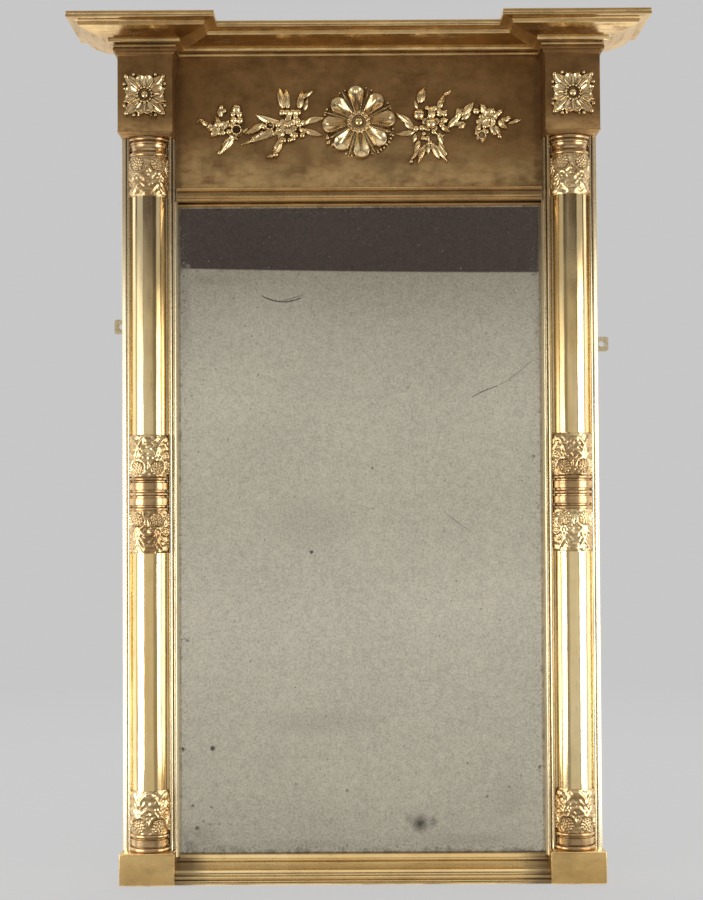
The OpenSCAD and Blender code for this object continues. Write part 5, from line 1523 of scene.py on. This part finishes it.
class PIERMIRROR_OT_stage(bpy.types.Operator):
    """Sets the camera, the floor, the pale background and the soft panels beside the mirror"""

    bl_idname = "piermirror.stage"
    bl_label = "Stage"

    def execute(self, context):
        scene = context.scene
        scene.view_settings.view_transform = "Standard"
        look = settings().stage
        camera = bpy.data.objects.new("camera", bpy.data.cameras.new("camera"))
        scene.collection.objects.link(camera)
        camera.data.lens = look.lens
        camera.data.sensor_width = 36
        camera.data.clip_end = 100
        # Fitted to the photo: where the camera stands, and its turns in degrees
        stand, yaw, pitch, roll = place(-6.46, 2039.6, 403.85), 0.094, 91.581, -0.303
        camera.matrix_world = (
            Matrix.Translation(stand)
            @ Matrix.Rotation(math.radians(yaw), 4, "Z")
            @ Matrix.Rotation(math.radians(pitch), 4, "X")
            @ Matrix.Rotation(math.radians(roll), 4, "Z")
        )
        scene.camera = camera
        self.world(scene, look)
        self.floor(look)
        # The panels stand a little out of square with the wall: distance from the middle, and distance forwards
        self.panel("left_panel", -1, (0.695, 0.69), (0.575, 0.07), 1.5)
        self.panel("right_panel", 1, (0.683, 0.56), (0.66, 0.06), 4.5)
        return {"FINISHED"}

    def world(self, scene, look):
        """The room that gilding and glass reflect, soft even light for dull surfaces, and plain grey behind."""
        world = bpy.data.worlds.new("studio")
        scene.world = world
        world.use_nodes = True
        tree = world.node_tree
        tree.nodes.clear()
        axes = add(tree, "SeparateXYZ", add(tree, "TexCoord").outputs["Generated"])
        height = add(tree, "Math", axes.outputs["X"], 0.016, axes.outputs["Z"], operation="MULTIPLY_ADD")
        # The wall ends on a sharp line, finer than the steps of a colour ramp, so the height jumps over it
        line, past_line, leap = 0.1222, 0.1231, 0.02
        jump = add(tree, "MapRange", height, line, past_line, 0.0, leap)
        height = add(tree, "Math", height, jump, operation="ADD")
        lowest, highest = ROOM[0][0], ROOM[-1][0]
        ramp = add(tree, "ValToRGB", add(tree, "MapRange", height, lowest, highest))
        elements = ramp.color_ramp.elements
        elements.remove(elements[-1])
        for k, (sine, colour) in enumerate(ROOM):
            at = (sine - lowest) / (highest - lowest)
            stop = elements[0] if k == 0 else elements.new(at)
            stop.position, stop.color = at, (*colour, 1.0)
        # A darker gap on each side between that wall and the panel
        aside = add(tree, "Math", axes.outputs["X"], operation="ABSOLUTE")
        aside = add(tree, "Math", aside, 0.69, operation="SUBTRACT")
        gap = add(tree, "MapRange", add(tree, "Math", aside, operation="ABSOLUTE"), 0.08, 0.24, 0.5, 1.0)
        behind = add(tree, "MapRange", axes.outputs["Y"], 0.02, 0.18)
        front = add(tree, "VectorMath", ramp.outputs["Color"], gap, operation="SCALE")
        # Rays that go on past the mirror's edges meet bright cloth, dimmer straight behind
        far = add(tree, "MapRange", axes.outputs["Y"], 0.60, 0.85)
        past = add(tree, "Mix", far, (1.5, 1.48, 1.44, 1), (0.85, 0.83, 0.80, 1), data_type="RGBA")
        seen = add(tree, "Mix", behind, front, past, data_type="RGBA")
        rays = add(tree, "LightPath")
        over = add(tree, "MapRange", axes.outputs["Z"], -0.3, 0.8)
        light = add(tree, "Mix", over, (0.75, 0.74, 0.72, 1), (1.05, 1.05, 1.05, 1), data_type="RGBA")
        seen = add(tree, "Mix", rays.outputs["Is Glossy Ray"], light, seen, data_type="RGBA")
        seen = add(tree, "Mix", rays.outputs["Is Camera Ray"], seen, look.pale, data_type="RGBA")
        add(tree, "OutputWorld", add(tree, "Background", seen))

    def floor(self, look):
        """A floor that takes the mirror's shadow near by, and has the background's own grey further off."""
        near, far = 0.45, 2.2
        floor = begin("plane", size=60)
        bpy.ops.object.mode_set(mode="OBJECT")
        floor.name = "floor"
        tree = blank("pale studio floor")
        painted = add(tree, "BsdfDiffuse", look.pale)
        away = add(tree, "VectorMath", add(tree, "TexCoord").outputs["Object"], operation="LENGTH").outputs["Value"]
        away = add(tree, "MapRange", away, near, far)
        own = add(tree, "Emission", look.pale, add(tree, "MapRange", away, 0.0, 1.0, 1.095, 1.0))
        share = add(tree, "MapRange", away, 0.0, 1.0, 0.72, 1.0)
        share = add(tree, "Math", add(tree, "LightPath").outputs["Is Camera Ray"], share, operation="MULTIPLY")
        add(tree, "OutputMaterial", add(tree, "MixShader", share, painted, own))
        floor.data.materials.append(bpy.data.materials["pale studio floor"])
        floor.visible_glossy = False

    def panel(self, name, side, near, far, fade):
        """A tall white panel at one side. From the front it shows only as bright lines on the gilding, but from the
        side the glass reflects it. Its light fades upwards to the strength given, then drops. near and far place its
        upright edges: from the middle, and forwards."""
        panel = begin("plane", size=1)
        bpy.ops.object.mode_set(mode="OBJECT")
        panel.name = name
        off_wall, fade_start, line, soft, top = 0.05, 0.38, 0.70, 0.04, 1.15
        for point in panel.data.vertices:
            x, forward = near if point.co.x < 0 else far
            point.co = (side * x, BACK - off_wall - forward, 0.0 if point.co.y < 0 else top)
        tree = blank(name + " white cloth")
        height = add(tree, "SeparateXYZ", add(tree, "TexCoord").outputs["Object"]).outputs["Z"]
        glow = add(tree, "MapRange", height, fade_start, line - soft, 6.0, fade)
        glow = add(tree, "MapRange", height, line - soft, line + soft, glow, 0.6)
        add(tree, "OutputMaterial", add(tree, "Emission", (1, 0.99, 0.96, 1), glow))
        panel.data.materials.append(bpy.data.materials[name + " white cloth"])
        panel.visible_camera = False
        panel.visible_diffuse = False
        panel.visible_shadow = False


OPERATORS = (
    PIERMIRROR_OT_mouldings,
    PIERMIRROR_OT_blocks,
    PIERMIRROR_OT_columns,
    PIERMIRROR_OT_collars,
    PIERMIRROR_OT_rosettes,
    PIERMIRROR_OT_flower,
    PIERMIRROR_OT_sprays,
    PIERMIRROR_OT_frieze,
    PIERMIRROR_OT_carcase,
    PIERMIRROR_OT_cornice,
    PIERMIRROR_OT_stage,
)


class PIERMIRROR_PT_panel(bpy.types.Panel):
    """Lists the steps that dress the frame, and what may be changed in them"""

    bl_idname = "PIERMIRROR_PT_panel"
    bl_label = "Pier Mirror"
    bl_space_type = "VIEW_3D"
    bl_region_type = "UI"
    bl_category = "Pier Mirror"

    def draw(self, context):
        layout = self.layout
        for group in ("gilding", "column", "ornament", "glass", "stage"):
            values = getattr(context.scene.pier_mirror, group)
            box = layout.box()
            for key in values.bl_rna.properties.keys():
                if key not in ("rna_type", "name"):
                    box.prop(values, key)
        for operator in OPERATORS:
            layout.operator(operator.bl_idname)


CLASSES = (
    GildingSettings,
    ColumnSettings,
    OrnamentSettings,
    GlassSettings,
    StageSettings,
    PierMirrorSettings,
    *OPERATORS,
    PIERMIRROR_PT_panel,
)


def register():
    for item in CLASSES:
        bpy.utils.register_class(item)
    bpy.types.Scene.pier_mirror = bpy.props.PointerProperty(
        type=PierMirrorSettings, name="Pier mirror", description="Sizes and colours of the pier mirror's finish"
    )


def unregister():
    del bpy.types.Scene.pier_mirror
    for item in reversed(CLASSES):
        bpy.utils.unregister_class(item)


def main():
    register()
    for operator in OPERATORS:
        group, name = operator.bl_idname.split(".")
        getattr(getattr(bpy.ops, group), name)()


if __name__ == "__main__":
    main()
